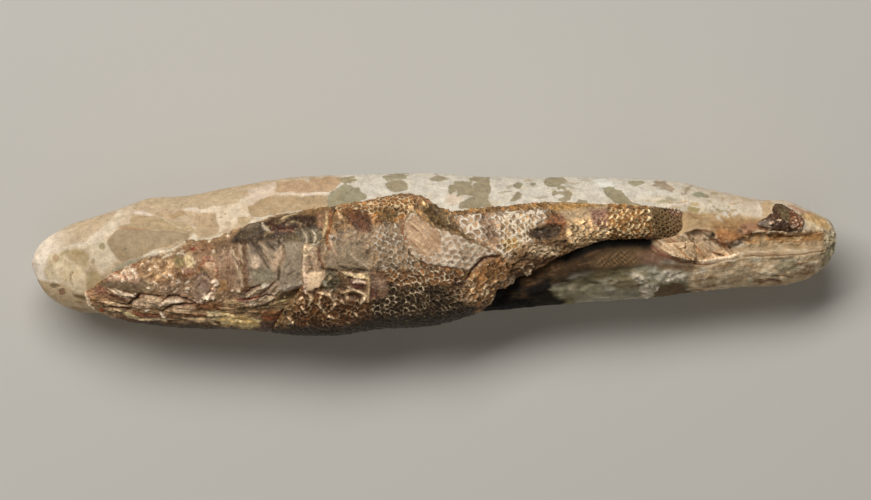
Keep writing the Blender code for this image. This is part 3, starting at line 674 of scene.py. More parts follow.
def stone():
    ends = -LENGTH / 2, LENGTH / 2
    places = ring_places(*ends, STONE_RINGS, 60, 70, 0.45, 330)
    skin = Skin(stone_surface, places, STONE_AROUND, crowding=0.4, ends=ends, ragged=0.4)
    x, points = skin.x, skin.points
    warm = 1 - smooth_step(-34, -15, x + 3 * rough_noise(points, 5, 3, 44))
    tip = 1 - smooth_step(-83, -74, x)
    tail = smooth_step(44, 62, x)
    for colour, share in ((CRUST, 1.0), (BEIGE, warm), (PEACH, tip), ("#deccb2", tail)):
        skin.coat(colour, share)
    below = smooth_step(0.05, 0.5, WAIST_HEIGHT - skin.z) * smooth_step(0, 0.35, -skin.out)
    skin.hidden = 6 * below
    skin.blotch = 7 * (rough_noise(points, (11, 7, 7), 3, 41) - 0.24) - 6 * smooth_step(-0.25, 0.05, skin.out)
    skin.blotch_tint[:] = linear(SAND) * warm[:, None] + linear(OLIVE) * (1 - warm[:, None])
    skin.relief += 0.24 * rough_noise(points, 7, 4, 31) + 0.07 * rough_noise(points, 1.3, 3, 37)

    area, line, veins, oval = skin.area, skin.line, skin.veins, skin.oval
    for outline, colour in GROUND:
        area(outline, 0.3, colour)
    line("-77.5,0.1 -76.1,0.6 -74.2,0.7 -72.7,0.1 -72,-0.9 -72.1,-2.2", 0.7, "#b49e76")
    line("-75,-3.5 -75.5,-4.3 -75.5,-5.1 -75.2,-6", 0.3, "#9a825e", height=-0.08)
    veins("-81.1,-6 -77.7,-6.4 -75.2,-7.6 -72.3,-9.1 -72.3,-11.4 -75.6,-10.8 -79,-9.5", (2.2, 0.9), 0.06,
          "#ac8c64", -16, 25)
    veins("-80.7,-1.6 -77.7,-0.3 -72.7,-2.8 -72.3,-7 -76.1,-5.8 -79.8,-4.9", (1.4, 1.0), 0.05, "#ceb690", 30,
          26)
    for outline, colour in BLOTCHES:
        skin.blotches(*skin.within(outline, 1.5), colour)
    for centre, radii, turn, colour in BLOTCH_SPOTS:
        skin.blotches(*skin.within_oval(centre, radii, turn, 1.5), colour)
    for outline in BLOTCH_HOLES:
        at, depth = skin.within(outline, 1.5)
        skin.blotch[at] = np.minimum(skin.blotch[at], -depth)
    skin.relief -= 0.1 * smooth_step(-0.2, 0.2, skin.blotch)

    # Faint marks and flecks on the bare band, and the crumbled rim above the snout.
    for mark, width, colour in (
        ("-62.3,8.9 -60.4,8.7 -58.7,8.1", 0.34, "#f4e0ce"),
        ("-58.7,8.1 -56.2,7.2 -53.1,5.8 -50.5,4.9", 0.16, "#d8c2a2"),
        ("-65.8,6.2 -64.4,6.4 -63.1,6.6 -62.9,8.5", 0.22, "#e6ceb6"),
        ("-63.9,9.3 -63.3,8.1 -63.5,6.8", 0.2, "#e8ceb8"),
        ("-33,12.5 -30.1,12.7 -28.6,12.5", 0.26, "#f0dac2"),
        ("-27.1,12.4 -23.8,12.5 -22.3,13 -21.5,13.3 -20.2,12.9", 0.3, "#f2dec8"),
        ("-37,7.8 -34.7,8.3 -32.1,8.7", 0.3, "#eed6c2"), ("-51.8,9.4 -49.7,9.5 -48,9.1", 0.3, "#f4e2ce"),
        ("-65.2,5.4 -63.5,5.3 -62.3,5.2 -59.3,5.2", 0.26, "#be926e"),
        ("-39.3,13.9 -39.3,12.7 -38.6,12.2", 0.3, "#d8bc9c"), ("-50.1,5.8 -49.5,5.3", 0.3, "#ead6be"),
        ("-49.9,3.9 -49.5,3", 0.5, "#ecd6c0"),
    ):
        line(mark, width, colour)
    for speck in (
        (-74.4, -2.6), (-74.8, -2.1), (-77.3, -2.8), (-79.4, -3.7), (-74.2, -6.4), (-75.2, -6.0),
        (-44.3, 8.7), (-43.2, 8.5), (-44.1, 7.9), (-40.3, 9.1), (-70.0, 0.3),
    ):
        oval(speck, (0.17, 0.14), 0, 0.12, "#a88662")
    for dash in (
        "13.4,12.7 14.9,13.1 16.2,13.1", "18.9,15.4 20.1,15.8", "14.9,14.1 16.4,14.5",
        "27,15 28.9,14.7 30.4,15", "21.4,11.6 23.5,11.8", "27.7,14.1 29.3,13.7", "52.1,12.9 53,13.9",
        "46.3,12.2 48.1,11.8",
    ):
        line(dash, 0.22, "#baaa8e")
    area("-67.1,-3.2 -64.8,-1.6 -59.3,-0.3 -55.2,0.9 -51,2.6 -50.3,1.8 -56.2,-0.3 -61.4,-1.8 -65.6,-3.9",
         0.35, "#9e967e", lumps=(0.9, 0.35))
    veins("-61.4,-1.6 -55.2,0.5 -51,3 -49.7,2.2 -55.2,-0.7", (1.0, 0.6), 0.3, "#eae0d0", 20, 46)
    for fleck in (
        "-50.5,3.5 -49.5,3.7 -49.1,3", "-48.9,2.8 -46.4,3.2 -43.9,3.9", "-43,3.9 -40.9,4.7 -39.3,5.3",
        "-38,6.6 -35.9,7.4 -33.8,8.1", "-33,8.5 -30.1,9.3 -28,9.7", "-60.2,-0.5 -58.1,0.1 -56,0.7",
    ):
        line(fleck, 0.4, "#ecdec6", height=0.15)

    # The lower flank: grey-green weathered stone with white scabs, then tan stone with brown streaks.
    area("13.9,-14.1 21,-10.8 24.7,-7 28.5,-5.5 34.8,-3.2 43.1,-2 55.7,-1.6 68.2,-0.5 83.9,0.9 83.9,-7.4 "
         "55.7,-12.9 18,-17", 0.8, "#a49674")
    flank = "23.9,-10.1 26.4,-6.6 34.8,-3.2 45.2,-2.4 55.7,-2.8 59.9,-6.4 55.7,-11.2"
    veins(flank, (4, 1.2), 0.16, "#60543a", 6, 3)
    veins(flank, (3, 1.0), 0.16, "#ded6be", 4, 6)
    area("53.6,-2 64,-0.3 76.6,0.5 84.1,1.4 82.9,-3.7 74.5,-7 55.7,-9.5 52.7,-6.2", 0.9, "#e8cca5")
    tan_end = "52.7,-2 64,-0.3 76.6,0.7 83.7,1.4 82.4,-3.2 74.5,-7 54.8,-9.5"
    veins(tan_end, (3.2, 0.9), 0.16, "#b08e6a", 6, 9)
    veins(tan_end, (1.6, 0.7), 0.16, "#f4e2c2", 10, 10)
    area("71.6,-0.7 74.9,-0.7 75.7,-2.8 73.2,-4.1 71.1,-2.8", 0.7, "#8c8262", cover=0.7)
    line("67.8,-6 69.9,-5.5 72.4,-5.8", 0.3, "#96684e", height=-0.12)
    line("70.3,-4.7 72.8,-4.5 74.9,-4.9", 0.22, "#9c7658", height=-0.1)
    area("29.5,-8.9 34.8,-7.6 43.1,-7.4 45.6,-8.7 43.1,-10.4 30.6,-10.8", 0.5, "#cec8b4", cover=0.6)
    area("26.4,-6.2 32.7,-5.1 36,-6.2 34.3,-7.4 28.5,-7.8", 0.6, "#786c52", cover=0.45)
    for scab in (
        "40,-3.9 41.5,-3.7 43.1,-4.5 44.4,-5.8 43.1,-6.2 41.5,-5.3", "46.3,-3.7 49,-3 51.5,-3.7 49,-4.5",
        "43.1,-6.6 46.3,-5.8 47.3,-7.4 45.2,-9.1 43.1,-8.7", "46.3,-5.1 51.1,-4.5 52.3,-5.1 48.1,-6",
        "54.8,-3 56.9,-3.2 55.7,-4.1",
    ):
        area(scab, 0.3, "#f6e8d0", height=0.2, lumps=(0.6, 0.45))
    area("46.3,-1.8 54,-2.4 53.6,-3.7 49,-3.2 46.3,-2.8", 0.5, "#a08264")
    skin.crumble(2.2, 0.08, 0.1, 47, "23.9,-10.1 26.4,-6.6 34.8,-3.2 55.7,-2 84.1,1.4 84.1,-7.4 55.7,-11.2")
    skin.crumble(1.1, 0.11, 0.15, 48, "23.9,-10.1 26.4,-6.6 34.8,-3.2 55.7,-2 84.1,1.4 84.1,-7.4 55.7,-11.2")

    # The recess under the stalk: painted shadow from the stalk that fades into the flank, and a strip with
    # the scales' print.
    area("24.7,-7.4 26.4,-5.8 30.6,-3.7 35.8,-2 44.2,-1.2 44.8,-2.4 36,-5.1 30.6,-6.2 26.8,-7", 1.3,
         "#62583c", cover=0.75, lumps=(1.5, 0.3))
    dark = (
        "7.6,-15.8 8.8,-7.8 13.9,-2.8 22.2,0.9 32.7,4.7 43.1,5.5 46.3,2.2 46.5,-0.3 41,-1.6 34.8,-2.8 "
        "28.9,-4.5 25.1,-6.6 23.7,-10.1 21.4,-12 13.9,-15"
    )
    # Painted shadow: near-black where the stalk shades the recess.
    area(dark, 0.9, "#100b06")
    area("23.3,-1.6 32.7,0.9 46.3,2.2 46.5,-2 36.9,-2.8 29.5,-4.5 24.7,-6.2", 1.2, "#3a2b17")
    veins("13.2,-8.5 20.1,-5.3 30.6,-1.6 36,-0.7 37.3,-3.2 28.9,-6.2 23.3,-8.5", (9, 0.7), 0.1, "#18120b", 12,
          4)
    veins("13.9,-8.7 23.3,-2.4 34.8,0.5 45.6,1.8 46.5,-1.6 34.8,-3.7 26.4,-6.2 23.3,-9.5", (4, 0.7), 0.1,
          "#3a2b1a", 14, 5)
    # Brown layers in the recess, painted darker as shade.
    layers = "18,-5.3 23.3,-1.8 29.5,0.3 36,1.8 35.6,-1.4 29.5,-2.8 23.3,-4.9 18.5,-7"
    area(layers, 0.6, "#46331f")
    veins(layers, (6, 0.45), 0.2, "#705438", 15, 8)
    # Painted shadow: the darkest strip, right under the stalk's edge.
    area("25.6,-0.7 32.7,2.4 37.3,3.5 43.1,3.7 45.6,3 44.8,1.8 38.9,1.8 32.7,0.5 27.4,-1.6", 0.7, "#16110a")
    skin.crumble(1.2, 0.1, 0.24, 42, dark)
    at, depth = skin.within("7.6,-15.8 7.6,-1.2 26.4,6.2 47.3,6.2 47.7,-3.7 26.4,-7.8 23.9,-15.8", 1)
    skin.blotch[at[depth > 0]] = -9
    area("23.7,-7.4 26,-6.8 29.5,-6.2 35.6,-6.4 35.2,-8.5 30.6,-8.9 27.7,-8.9 25.6,-8.3", 0.3, "#b2a88a",
         lumps=(1.2, 0.25))
    # Painted shadow low on the flank, below the pale wedge.
    area("21,-9.5 23.5,-7.8 25.6,-8.9 28.1,-9.7 26.4,-10.8 23.1,-13.3 19.3,-13.3", 0.4, "#261e13")
    print_strip = "32.3,-2 34.8,0.3 38.9,1.4 43.1,1.2 45.4,0.3 44.8,-1.2 41,-2.4 36,-3.2 33.1,-3"
    area(print_strip, 1.0, "#665035")
    at, depth = skin.within(print_strip, 0.5)
    drift = 0.4 * noise(points[at], 1.6, 43)
    column, row = x[at] + drift, skin.y[at] + 0.3 * x[at] + drift
    dots = np.sin(2 * np.pi * column / 1.05) * np.sin(2 * np.pi * row / 1.1)
    kept = smooth_step(0, 1.2, depth) * smooth_step(-0.7, 0.2, noise(points[at], 1.8, 38))
    skin.mark(at, kept * smooth_step(0.1, 0.7, dots), height=-0.12, colour="#2e2113")
    skin.mark(at, kept * smooth_step(0.15, 0.7, -dots), colour="#927250")
    area("42.3,0.5 45.2,0.9 48.1,-0.5 49,-1.6 45.2,-2.2 42.7,-1.4", 0.8, "#7a5e4a", lumps=(0.8, 0.35))

    # Bedded under the end of the stalk, so that its whole square patch shows.
    area("45.2,9.1 47.7,9.1 51.3,8.3 51.3,5.8 50.2,4.5 48.1,3.7 45.2,3.9", 0.5, height=-2.2)

    # The tail's end: crust, layered beige stone, a rough brown scarp, a tan ledge, and a cream one.
    area("48.1,8.7 51.5,8.9 55.7,8.9 63,8.7 67.2,7.6 69.3,7.8 70.7,7.2 69.3,4.5 64,3 55.7,5.1 51.9,4.3 49,3",
         0.4, "#ceae82", height=-0.1)
    for rise in (0, 0.7, 1.5, 2.2):
        line(path("51.9,4.7 55.7,6 60.7,6.4") + (0, rise), 0.22, "#c8a87e", height=0.08)
    area("57.3,6.8 61.9,7.6 68.2,7.2 69.1,5.5 64,3.9 59,4.7", 0.7, "#b89265")
    veins("52.3,8.5 69.3,7.6 69.3,4.7 55.7,5.1", (6, 0.8), 0.08, "#a07a52", -3, 7)
    area("63.2,6.2 65.1,6.6 69.1,6.8 69.5,4.7 65.7,4.1 63.6,4.7", 0.4, "#b08464", lumps=(0.8, 0.35))
    oval((63.3, 5.0), (0.7, 0.5), 0, 0.2, "#74624e", height=-0.2)
    oval((56.9, 3.9), (1.3, 0.9), 15, 0.4, "#a48e72", dome=0.4)
    oval((58.0, 4.1), (0.5, 0.7), 0, 0.25, "#342e22", height=-0.5)
    area("58.4,5.5 63,5.1 64.5,3.9 62.4,2.6 60.3,2.4 58.6,3", 0.5, "#ba8658", lumps=(1.0, 0.2))
    line("51.9,4.7 54.4,5.4 56.9,5.3", 0.3, "#dec098", height=0.2)
    # Painted shadow: dark lines in grooves under the scarp's overhang.
    line("53.6,4.9 55.5,5 57.1,4.8", 0.36, "#764224", height=-0.3)
    line("56.1,3 58.2,2.2 60.3,1.8 61.7,2.2 63.2,3 64.7,4.1 66.1,4.5 68.6,4.5", 0.45, "#6c4426", height=-0.4)
    area("56.9,3.5 58.6,2.8 60.3,2.6 60.3,1.6 58.2,1.8", 0.3, "#a65c34", lumps=(0.6, 0.3))
    area("59,1.8 61.5,2 61.9,0.7 59.9,0.5", 0.3, "#705e48", lumps=(0.6, 0.35))
    line("66.1,4.7 67.4,5 68.6,4.8", 0.24, "#ecd4b0", height=0.15)
    area("64.5,3.9 68.2,4.3 74.5,4.5 82,5.1 84.5,4.3 83.7,2.6 76.6,2.4 69.3,2.2 64.5,2.2", 0.8, "#b48856",
         lumps=(0.9, 0.15))
    veins("64.5,3.9 68.2,4.3 83.3,4.9 83.7,0.9 65.1,0.5", (5, 0.5), 0.12, "#d6b88c", 3, 17)
    veins("68.2,4.5 83.7,4.9 83.7,0.9 72.4,0.9", (4, 0.45), 0.12, "#92643c", 4, 18)
    line("68.4,4.7 68.6,3 68.4,1.6", 0.4, "#d4ba94")
    line("70.9,3.5 72.4,4.1 74.5,3.9", 0.28, "#8a522e", height=-0.1)
    area("61.9,1.4 66.1,2.2 74.5,2.4 82.4,2.6 83.3,1.2 76.6,0.5 68.2,-0.1 62.4,-0.1", 0.35, "#ba9e7a")
    veins("63,1.8 83.3,3 83.7,0.5 64,-0.3", (4, 0.5), 0.12, "#dec8a6", 3, 20)
    line("63.2,0 68.2,-0.2 74.5,0.1 80.8,0.7", 0.22, "#806040", height=-0.2)
    area("45.2,3.9 49,3.7 55.7,4.7 58.2,2.6 63,0.9 63.6,-0.3 55.7,-1.8 50.4,-1.4 45.6,0.3", 0.5, "#ccae8a")
    veins("45.2,3.9 55.7,4.9 63.6,0.9 55.7,-2 45.2,-0.1", (3.5, 0.6), 0.25, "#a4764e", -35, 19)
    veins("46.3,3.5 55.7,4.9 63.6,0.5 55.7,-2 47.3,-0.3", (2.5, 0.5), 0.25, "#eed6b4", -38, 21)
    line("45,0.9 47.7,-0.5 51.5,-1.6 55.7,-2 63,-0.5", 0.5, "#6c4a32", height=-0.25)
    line("45.2,1.8 47.3,0.1 49.8,-0.9", 0.4, "#845642", height=-0.1)
    skin.crumble(1.0, 0.3, 0.25, 49, "55.7,5.8 65.1,6.2 69.9,6.8 83.7,5.1 84.1,1.8 65.1,1.4 56.7,1.8")
    skin.crumble(0.9, 0.2, 0.2, 50, "45.6,3 49,3.7 55.7,4.3 63,0.9 55.7,-2 45.6,0.1")
    line("55.7,-1.4 58.8,-1 61.5,-0.5 64,0.3", 0.34, "#f6e4c6", height=0.4)
    for fleck in (
        "55,8.9 56.3,9.7", "52.3,9.7 53.2,9.5", "59.6,8.5 61.1,8.7", "62.2,8.1 63.2,8.5",
        "50.7,10.1 51.9,10.4", "67.8,8.1 68.2,9.5 67.8,10.8",
    ):
        line(fleck, 0.3, "#f6ead4", height=0.15)
    veins("51.9,9.9 55.7,10.1 60.7,9.5 63.2,8.9 62.4,7 59.4,6.8 58.2,8.1 53.6,8.7", (1.3, 0.6), 0.08,
          "#faf0dc", -24, 24)
    area("43.1,12.2 51.5,11.8 63,10.8 67.8,10.1 67.4,8.1 63,8.7 58.8,8.7 53.6,9.1 47.3,9.9", 0.5, "#eedfc7")
    veins("43.1,11.4 53.6,11 64,10.1 63,8.5 53.6,8.9 46.3,9.7", (2.5, 1.0), 0.08, "#c4ae8a", -5, 22)

    # Small patches, flecks and a pale pink panel on the crust above the tail.
    area("63,12.7 67.6,11.8 68,8.1 64,7.8", 0.8, "#e4ceb2", cover=0.6)
    for patch, radii, turn, colour in (
        ((52.1, 10.9), (0.95, 0.24), 0, "#c6a476"), ((50.2, 9.7), (1.3, 0.26), 4, "#ceb892"),
        ((54.0, 10.4), (1.0, 0.4), 0, "#d0b68a"), ((53.6, 9.3), (1.3, 0.55), 0, "#c2ac7a"),
        ((47.3, 11.0), (0.9, 0.34), 0, "#c0b898"), ((51.5, 12.7), (0.34, 0.42), 0, "#b8a492"),
        ((57.3, 11.0), (0.6, 0.22), 0, "#c0b08a"), ((58.2, 9.9), (0.22, 0.2), 0, "#a69a72"),
        ((58.6, 12.8), (0.75, 0.24), -12, "#b8a884"), ((60.1, 11.4), (0.5, 0.3), 0, "#ccb494"),
        ((62.6, 11.7), (0.8, 0.22), 0, "#e0c2a0"), ((62.4, 10.5), (0.85, 0.26), 0, "#d2b48e"),
        ((61.3, 9.9), (0.2, 0.28), 0, "#ae9e6c"), ((62.4, 9.0), (0.75, 0.26), 0, "#cab28e"),
        ((56.5, 12.2), (0.85, 0.5), 0, "#9e8e74"), ((60.3, 8.7), (0.36, 0.28), 0, "#fff6ee"),
        ((62.8, 8.3), (0.32, 0.26), 0, "#ffecdc"), ((59.0, 9.3), (0.5, 0.22), 0, "#b4a67e"),
    ):
        oval(patch, radii, turn, 0.12, colour)
    line("52.1,12.7 53,13.7 53.8,14.2", 0.34, "#ac9c80")
    line("54.9,8.6 55.5,9.1 56.1,9.5", 0.34, "#f8e6c4", height=0.12)
    line("47.9,10.6 50.7,10.1 53.2,10.8", 0.3, "#faead6", height=0.1)

    area("68.4,10.8 70.3,11.4 70.9,10.1 70.3,8.1 68.2,7.8", 0.35, "#d4b68e")
    line("74.1,10.1 76.6,9.1 79.5,8.1", 0.45, "#cc9e80", height=0.1)
    area("76.2,8.5 79.7,8.5 82.9,6.8 83.3,5.1 79.7,4.9 77.2,6.4", 0.4, "#d8b480", lumps=(1.1, 0.3))
    line("77.2,6.8 79.1,6 81.2,4.9", 0.5, "#f0dab4", height=0.25)
    line("70.7,4.9 73.2,4.3 76.6,4.3 79.1,4.9", 0.34, "#e4c49c", height=0.25)
    area("81.2,5.1 84.1,4.7 84.7,1.8 83.3,-2 80.8,-2.4 81.6,1.8", 0.7, "#c4b696", lumps=(0.9, 0.5))
    line("82,6.8 83.7,4.7 84.3,2.2 83.7,-0.3", 0.5, "#e6d8be", height=0.2)
    return skin


# ---------------------------------------------------------------- the fish

PITCH_ALONG = ((-36, 3.0), (-10, 2.9), (3, 2.8), (9, 2.6), (16, 2.15), (30, 1.95), (45, 1.95), (52, 2.1))
PITCH_ACROSS = ((-36, 1.9), (3, 1.85), (9, 1.7), (40, 1.6), (45, 1.5), (47, 1.05), (52, 1.0))
SHEARED = (3, 26)  # behind the fault the rows of scales lie aslant, from here to here
LEANING = (33, 43)  # and on the stalk they come to lean
NET_CREAM = "#d6be98"


def lay_lattice(skin):
    """Count the scales along and across the body, smaller towards the tail, where their rows lean."""
    line = np.linspace(-37, 54, 600)
    along, across = np.interp(line, *np.transpose(PITCH_ALONG)), np.interp(line, *np.transpose(PITCH_ACROSS))
    count = np.concatenate([[0], np.cumsum(np.diff(line) / along[:-1])])
    front = 1 - smooth_step(-16, -12, skin.x)
    wander = []
    for seed in (51, 52):
        broad, fine = noise(skin.points, 3.0, seed), noise(skin.points, 1.2, seed + 2)
        wander.append((0.28 + 0.1 * front) * broad + (0.17 + 0.06 * front) * fine)
    lean = 0.25 * smooth_step(*LEANING, skin.x)
    step_x, step_y = np.interp(skin.x, line, along), np.interp(skin.x, line, across)
    along_count = np.interp(skin.x, line, count)
    start, stop = np.interp(SHEARED, line, count)
    sheared = 0.5 * (np.clip(along_count, start, stop) - start)
    skin.lattice[:, 0] = along_count - lean * skin.girth / step_x + wander[0]
    skin.lattice[:, 1] = skin.girth / step_y - sheared + wander[1]
    skin.lattice[:, 2] = step_x / step_y


def fish_head():
    places = ring_places(FISH_LOW, HEAD_END, HEAD_RINGS, 60, 0.5)
    skin = Skin(fish_surface, places, HEAD_AROUND, 0.75, (FISH_LOW, HEAD_END + 0.2), lowest=-0.2)
    x, y = skin.x, skin.y
    area, line, veins, oval = skin.area, skin.line, skin.veins, skin.oval
    skin.coat("#9a7f61", calm=0.25)
    # Painted shade: the underside, where the marks fade out, is coated dark brown.
    skin.coat("#544632", 1 - skin.reach)
    veins("-74,13.5 -18.6,13.5 -18.6,-18.9 -74,-18.9", (2.6, 1.8), 0.2, "#705238", 0, 61)

    # Snout: crumbled crystal above, a smooth grey facet, and the upper jaw in slanting splinters.
    veins("-72.3,-7 -59.3,-7 -45.7,-9.5 -35.9,-13.3 -35.9,-15.4 -53.1,-15 -67.7,-13.3 -71.9,-10.8", (8, 0.75),
          0.34, "#704a30", -3, 65)
    veins("-70.8,-9.5 -59.3,-10.1 -45.7,-11.2 -35.9,-14.1 -53.1,-14.1 -67.7,-12.4", (6, 0.5), 0.25, "#eacea8",
          -3, 67)
    area("-72.3,-7.8 -69.2,-6.2 -67.3,-7.2 -67.3,-9.1 -70.2,-10.8 -71.9,-10.4", 0.5, "#aa8668",
         lumps=(0.9, 0.3))
    area("-70.6,-7 -69.2,-6.2 -67.3,-7.2 -67.7,-8.5 -69.8,-8.3", 0.4, "#845e4c", lumps=(0.8, 0.25))
    area("-69.2,-6.2 -67.7,-5.5 -64.6,-5.3 -61.4,-5.5 -60,-6.2 -59.5,-7.2 -60.8,-7.8 -62.5,-8.1 -64.6,-7.4 "
         "-66.2,-7 -68.1,-7.2", 0.35, "#76644e", height=0.15, calm=0.7)
    area("-69.4,-4.9 -67.7,-3.7 -64.8,-2.6 -62.5,-1.6 -61,-1.6 -60.8,-3.7 -62.7,-3.2 -65.2,-3.9 -68.1,-5.3",
         0.4, "#9e7456", lumps=(0.8, 0.35))
    area("-68.5,-5.5 -66,-4.3 -63.9,-3.7 -62.3,-3 -61.2,-4.5 -60.6,-5.8 -63.9,-5.3 -66.7,-5.5", 0.4,
         "#ba967c", lumps=(0.7, 0.5))
    skin.beads("-68.1,-4.9 -66,-4.5 -63.9,-3.7 -62.3,-3.2 -61.2,-4.7 -63.5,-5.1 -66,-5.1", 34, 0.34, 57, 0.3,
               colour="#f4dec8", height=0.2)
    area("-61.4,-2.4 -59.3,-1.2 -56.2,-0.7 -53.1,-1.4 -52,-3.2 -52.4,-4.9 -54.7,-6.4 -57.2,-6.4 -59.8,-5.5 "
         "-61.2,-4.3", 0.5, "#947556", lumps=(1.5, 0.4))
    veins("-61.4,-1.6 -53.1,-0.7 -51.4,-3.7 -55.2,-6.4 -60.4,-5.8", (1.6, 0.7), 0.2, "#d4b28a", 30, 62)
    area("-61,-4.5 -58.9,-5.3 -56.8,-6.6 -57.2,-7.8 -59.8,-7.8 -61,-6.2", 0.5, "#988268")
    area("-56.8,-6.2 -52,-5.3 -49.7,-7.4 -50.1,-9.5 -55.2,-9.1 -57.2,-7.8", 0.6, "#a48870", lumps=(1.0, 0.3))
    for fleck, width in (
        ("-62.9,-3 -62.3,-3.5 -61.8,-4.1", 0.32), ("-57.7,-2.4 -57,-2.8", 0.3), ("-59.1,-3.2 -58.5,-3", 0.28),
        ("-54.7,-4.1 -54.1,-4.7", 0.2), ("-58.1,-5.5 -57.2,-6", 0.16), ("-59.3,-6.8 -58.5,-7", 0.22),
        ("-60.4,-0.5 -59.5,-0.1", 0.3), ("-63.5,-8.3 -62.3,-8.5 -61.8,-8.1", 0.3),
        ("-51.4,-6 -50.5,-5.5", 0.28), ("-60,-11.8 -59.1,-11.6", 0.26), ("-56.6,-12.4 -55.8,-13.1", 0.45),
        ("-51.6,-3 -51.8,-3.7", 0.28), ("-49.5,-9.3 -48.7,-9.1", 0.3), ("-41.8,-7.4 -41.1,-7.2", 0.26),
        ("-40.5,-7.2 -40.1,-7.8", 0.24), ("-49.7,2.2 -49.1,1.6", 0.28), ("-51.8,0.3 -51,-0.5", 0.26),
    ):
        line(fleck, 0.8 * width, "#f0e2d0", height=0.2)
    skin.beads("-56,-3.7 -54.5,-4.5 -53.5,-5.5 -51.8,-6.6 -50.5,-7.8", 20, 0.26, 58, 0.28, colour="#eedeca",
               height=0.2)
    skin.beads("-61.4,-2.4 -58.9,-1.6 -56.4,-1.6 -54.3,-2.4", 16, 0.22, 59, 0.4, colour="#e8ccaa",
               height=0.15)
    skin.beads("-60.2,-5.3 -57.7,-6.2 -56,-7.4 -53.1,-7.8", 18, 0.22, 61, 0.5, colour="#cebca6", height=0.12)
    line("-72.5,-7.6 -72.1,-9.5 -71.5,-10.8 -70.4,-11.8", 0.34, "#ecdac0", height=0.25)
    line("-70.4,-11.8 -68.1,-12.7 -66.4,-12.9", 0.24, "#d4be9e", height=0.2)
    oval((-70.8, -9.5), (0.5, 0.3), 0, 0.15, "#a6803e")
    oval((-69.2, -11.6), (0.5, 0.35), -20, 0.15, "#b05c28", height=-0.1)
    veins("-67.7,-7 -64.6,-7.2 -61.4,-8.3 -62.7,-10.1 -66,-9.7 -67.7,-8.7", (3, 0.45), 0.3, "#704e3a", -34,
          68)
    line("-67.3,-7.2 -65.2,-8.1 -62.9,-9.5", 0.25, "#dec8b0", height=0.2)
    line("-66,-7.2 -63.9,-8.3 -61.8,-8.7", 0.3, "#e2d0b8", height=0.25)
    area("-63.3,-10.4 -62.1,-9.1 -60.8,-8.1 -61,-9.3 -62.1,-10.1", 0.25, "#544232", height=-0.35)
    line("-65.6,-10.1 -63.9,-10.6 -62.7,-10.4 -61.6,-9.3 -61,-8.3 -59.3,-8.3 -57.2,-8.9", 0.26, "#56382a",
         height=-0.4)
    area("-61,-9.3 -59.3,-8.5 -56.6,-9.1 -55.2,-9.7 -56.6,-10.8 -59.3,-11.2 -62.3,-11.2 -62.5,-10.1", 0.25,
         "#d4ba9e", height=0.2)
    line("-56.2,-9.7 -54.9,-8.9 -53.5,-8.7 -51,-9.3 -49.3,-9.9", 0.26, "#5a3a2a", height=-0.35)
    line("-56.8,-11 -55.6,-10.1 -54.1,-9.7 -52.2,-9.7", 0.42, "#e6d6c2", height=0.25)
    line("-56.4,-12 -55.2,-11.4 -54.3,-10.6 -52.6,-10.4 -48.9,-10.1", 0.28, "#58382a", height=-0.4)
    area("-54.3,-11.4 -53.1,-10.8 -49.7,-10.6 -48.2,-11.2 -50.5,-12 -53.5,-12", 0.25, "#d8bc9e", height=0.15)
    line("-66.2,-11 -63.9,-11.4 -63.1,-11.6", 0.22, "#623a2e", height=-0.2)
    line("-62.1,-12 -59.3,-12.7 -56.8,-12.9", 0.3, "#80523c", height=-0.15)
    line("-63.5,-12.9 -59.3,-13.5 -55.6,-13.7", 0.24, "#e2ccaa", height=0.2)
    line("-65.2,-11.8 -63.1,-12.4 -61.4,-13.1", 0.3, "#d6c89c", height=0.1)
    veins("-69.2,-4.3 -64.6,-2.4 -59.3,-0.3 -51.4,2.6 -51,0.9 -56.2,-1.6 -63.5,-2.8 -68.5,-5.3", (1.6, 0.6),
          0.25, "#ded2ba", 24, 66)
    line("-60.4,-0.5 -57.7,0.1 -54.7,0.9 -51.4,2.4", 0.42, "#e2d6c2", height=0.2)

    # Cheek and eye.
    area("-53.9,-0.3 -51.8,-0.5 -51.6,-2.4 -53.5,-2.4", 0.4, "#8e7e54")
    area("-51.8,-0.7 -51,0.1 -49.7,-0.3 -50.1,-1.6 -49.5,-2.6 -51,-2.6 -51.4,-1.6", 0.3, "#e2cca2",
         lumps=(0.6, 0.5))
    skin.beads("-51.8,-0.3 -50.5,0.1 -49.5,-1.6 -50.3,-2.8", 14, 0.34, 62, 0.35, colour="#f0deb8",
               height=0.15)
    area("-52,-2.8 -49.5,-2.6 -48.9,-4.5 -51,-4.9", 0.4, "#b08c74", lumps=(0.7, 0.35))
    area("-51.8,1.8 -46.8,2.8 -43.9,2.6 -44.7,0.5 -48.9,0.1 -51.4,0.1", 0.6, "#8c6a4e", lumps=(0.9, 0.25))
    oval((-49.8, 1.2), (0.45, 0.35), 0, 0.12, "#803626", height=-0.1)
    area("-48.9,-0.7 -45.7,-0.1 -44.1,-2 -43.9,-5.8 -45.7,-3.7 -47.8,-2.8", 0.5, "#b08d72", lumps=(1.0, 0.3))
    oval((-46.2, -2.2), (1.0, 0.8), 0, 0.25, "#d8b89a")
    line("-44.7,-2.8 -44.5,-3.9 -44.9,-5.1", 0.22, "#96543e")
    line("-47.8,-0.7 -46.2,-0.5", 0.22, "#aa6850")
    line("-48.7,-3.5 -48.2,-2 -47.2,-1.3 -45.5,-1.4", 0.34, "#8a583a")
    line("-52.2,-4.1 -51,-4.3 -49.5,-3.7", 0.3, "#8e5a3a")
    area("-45.7,2.6 -41.3,3 -40.1,0.5 -40.9,-1.6 -43.4,-1.6 -45.1,0.5", 0.8, "#7a6248", calm=0.5)
    area("-44.7,0.1 -42.6,0.5 -40.5,-2 -39.5,-7 -40.5,-9.1 -43.4,-8.7 -44.3,-5.3", 0.8, "#9e826b", calm=0.7)
    veins("-44.7,0.9 -40.5,1.8 -39.3,-7.8 -43.9,-8.3", (6, 0.8), 0.1, "#bca088", 84, 78)
    area("-44.5,-5.1 -42.8,-5.3 -42.8,-7.6 -44.3,-7.6", 0.4, "#b08a60")
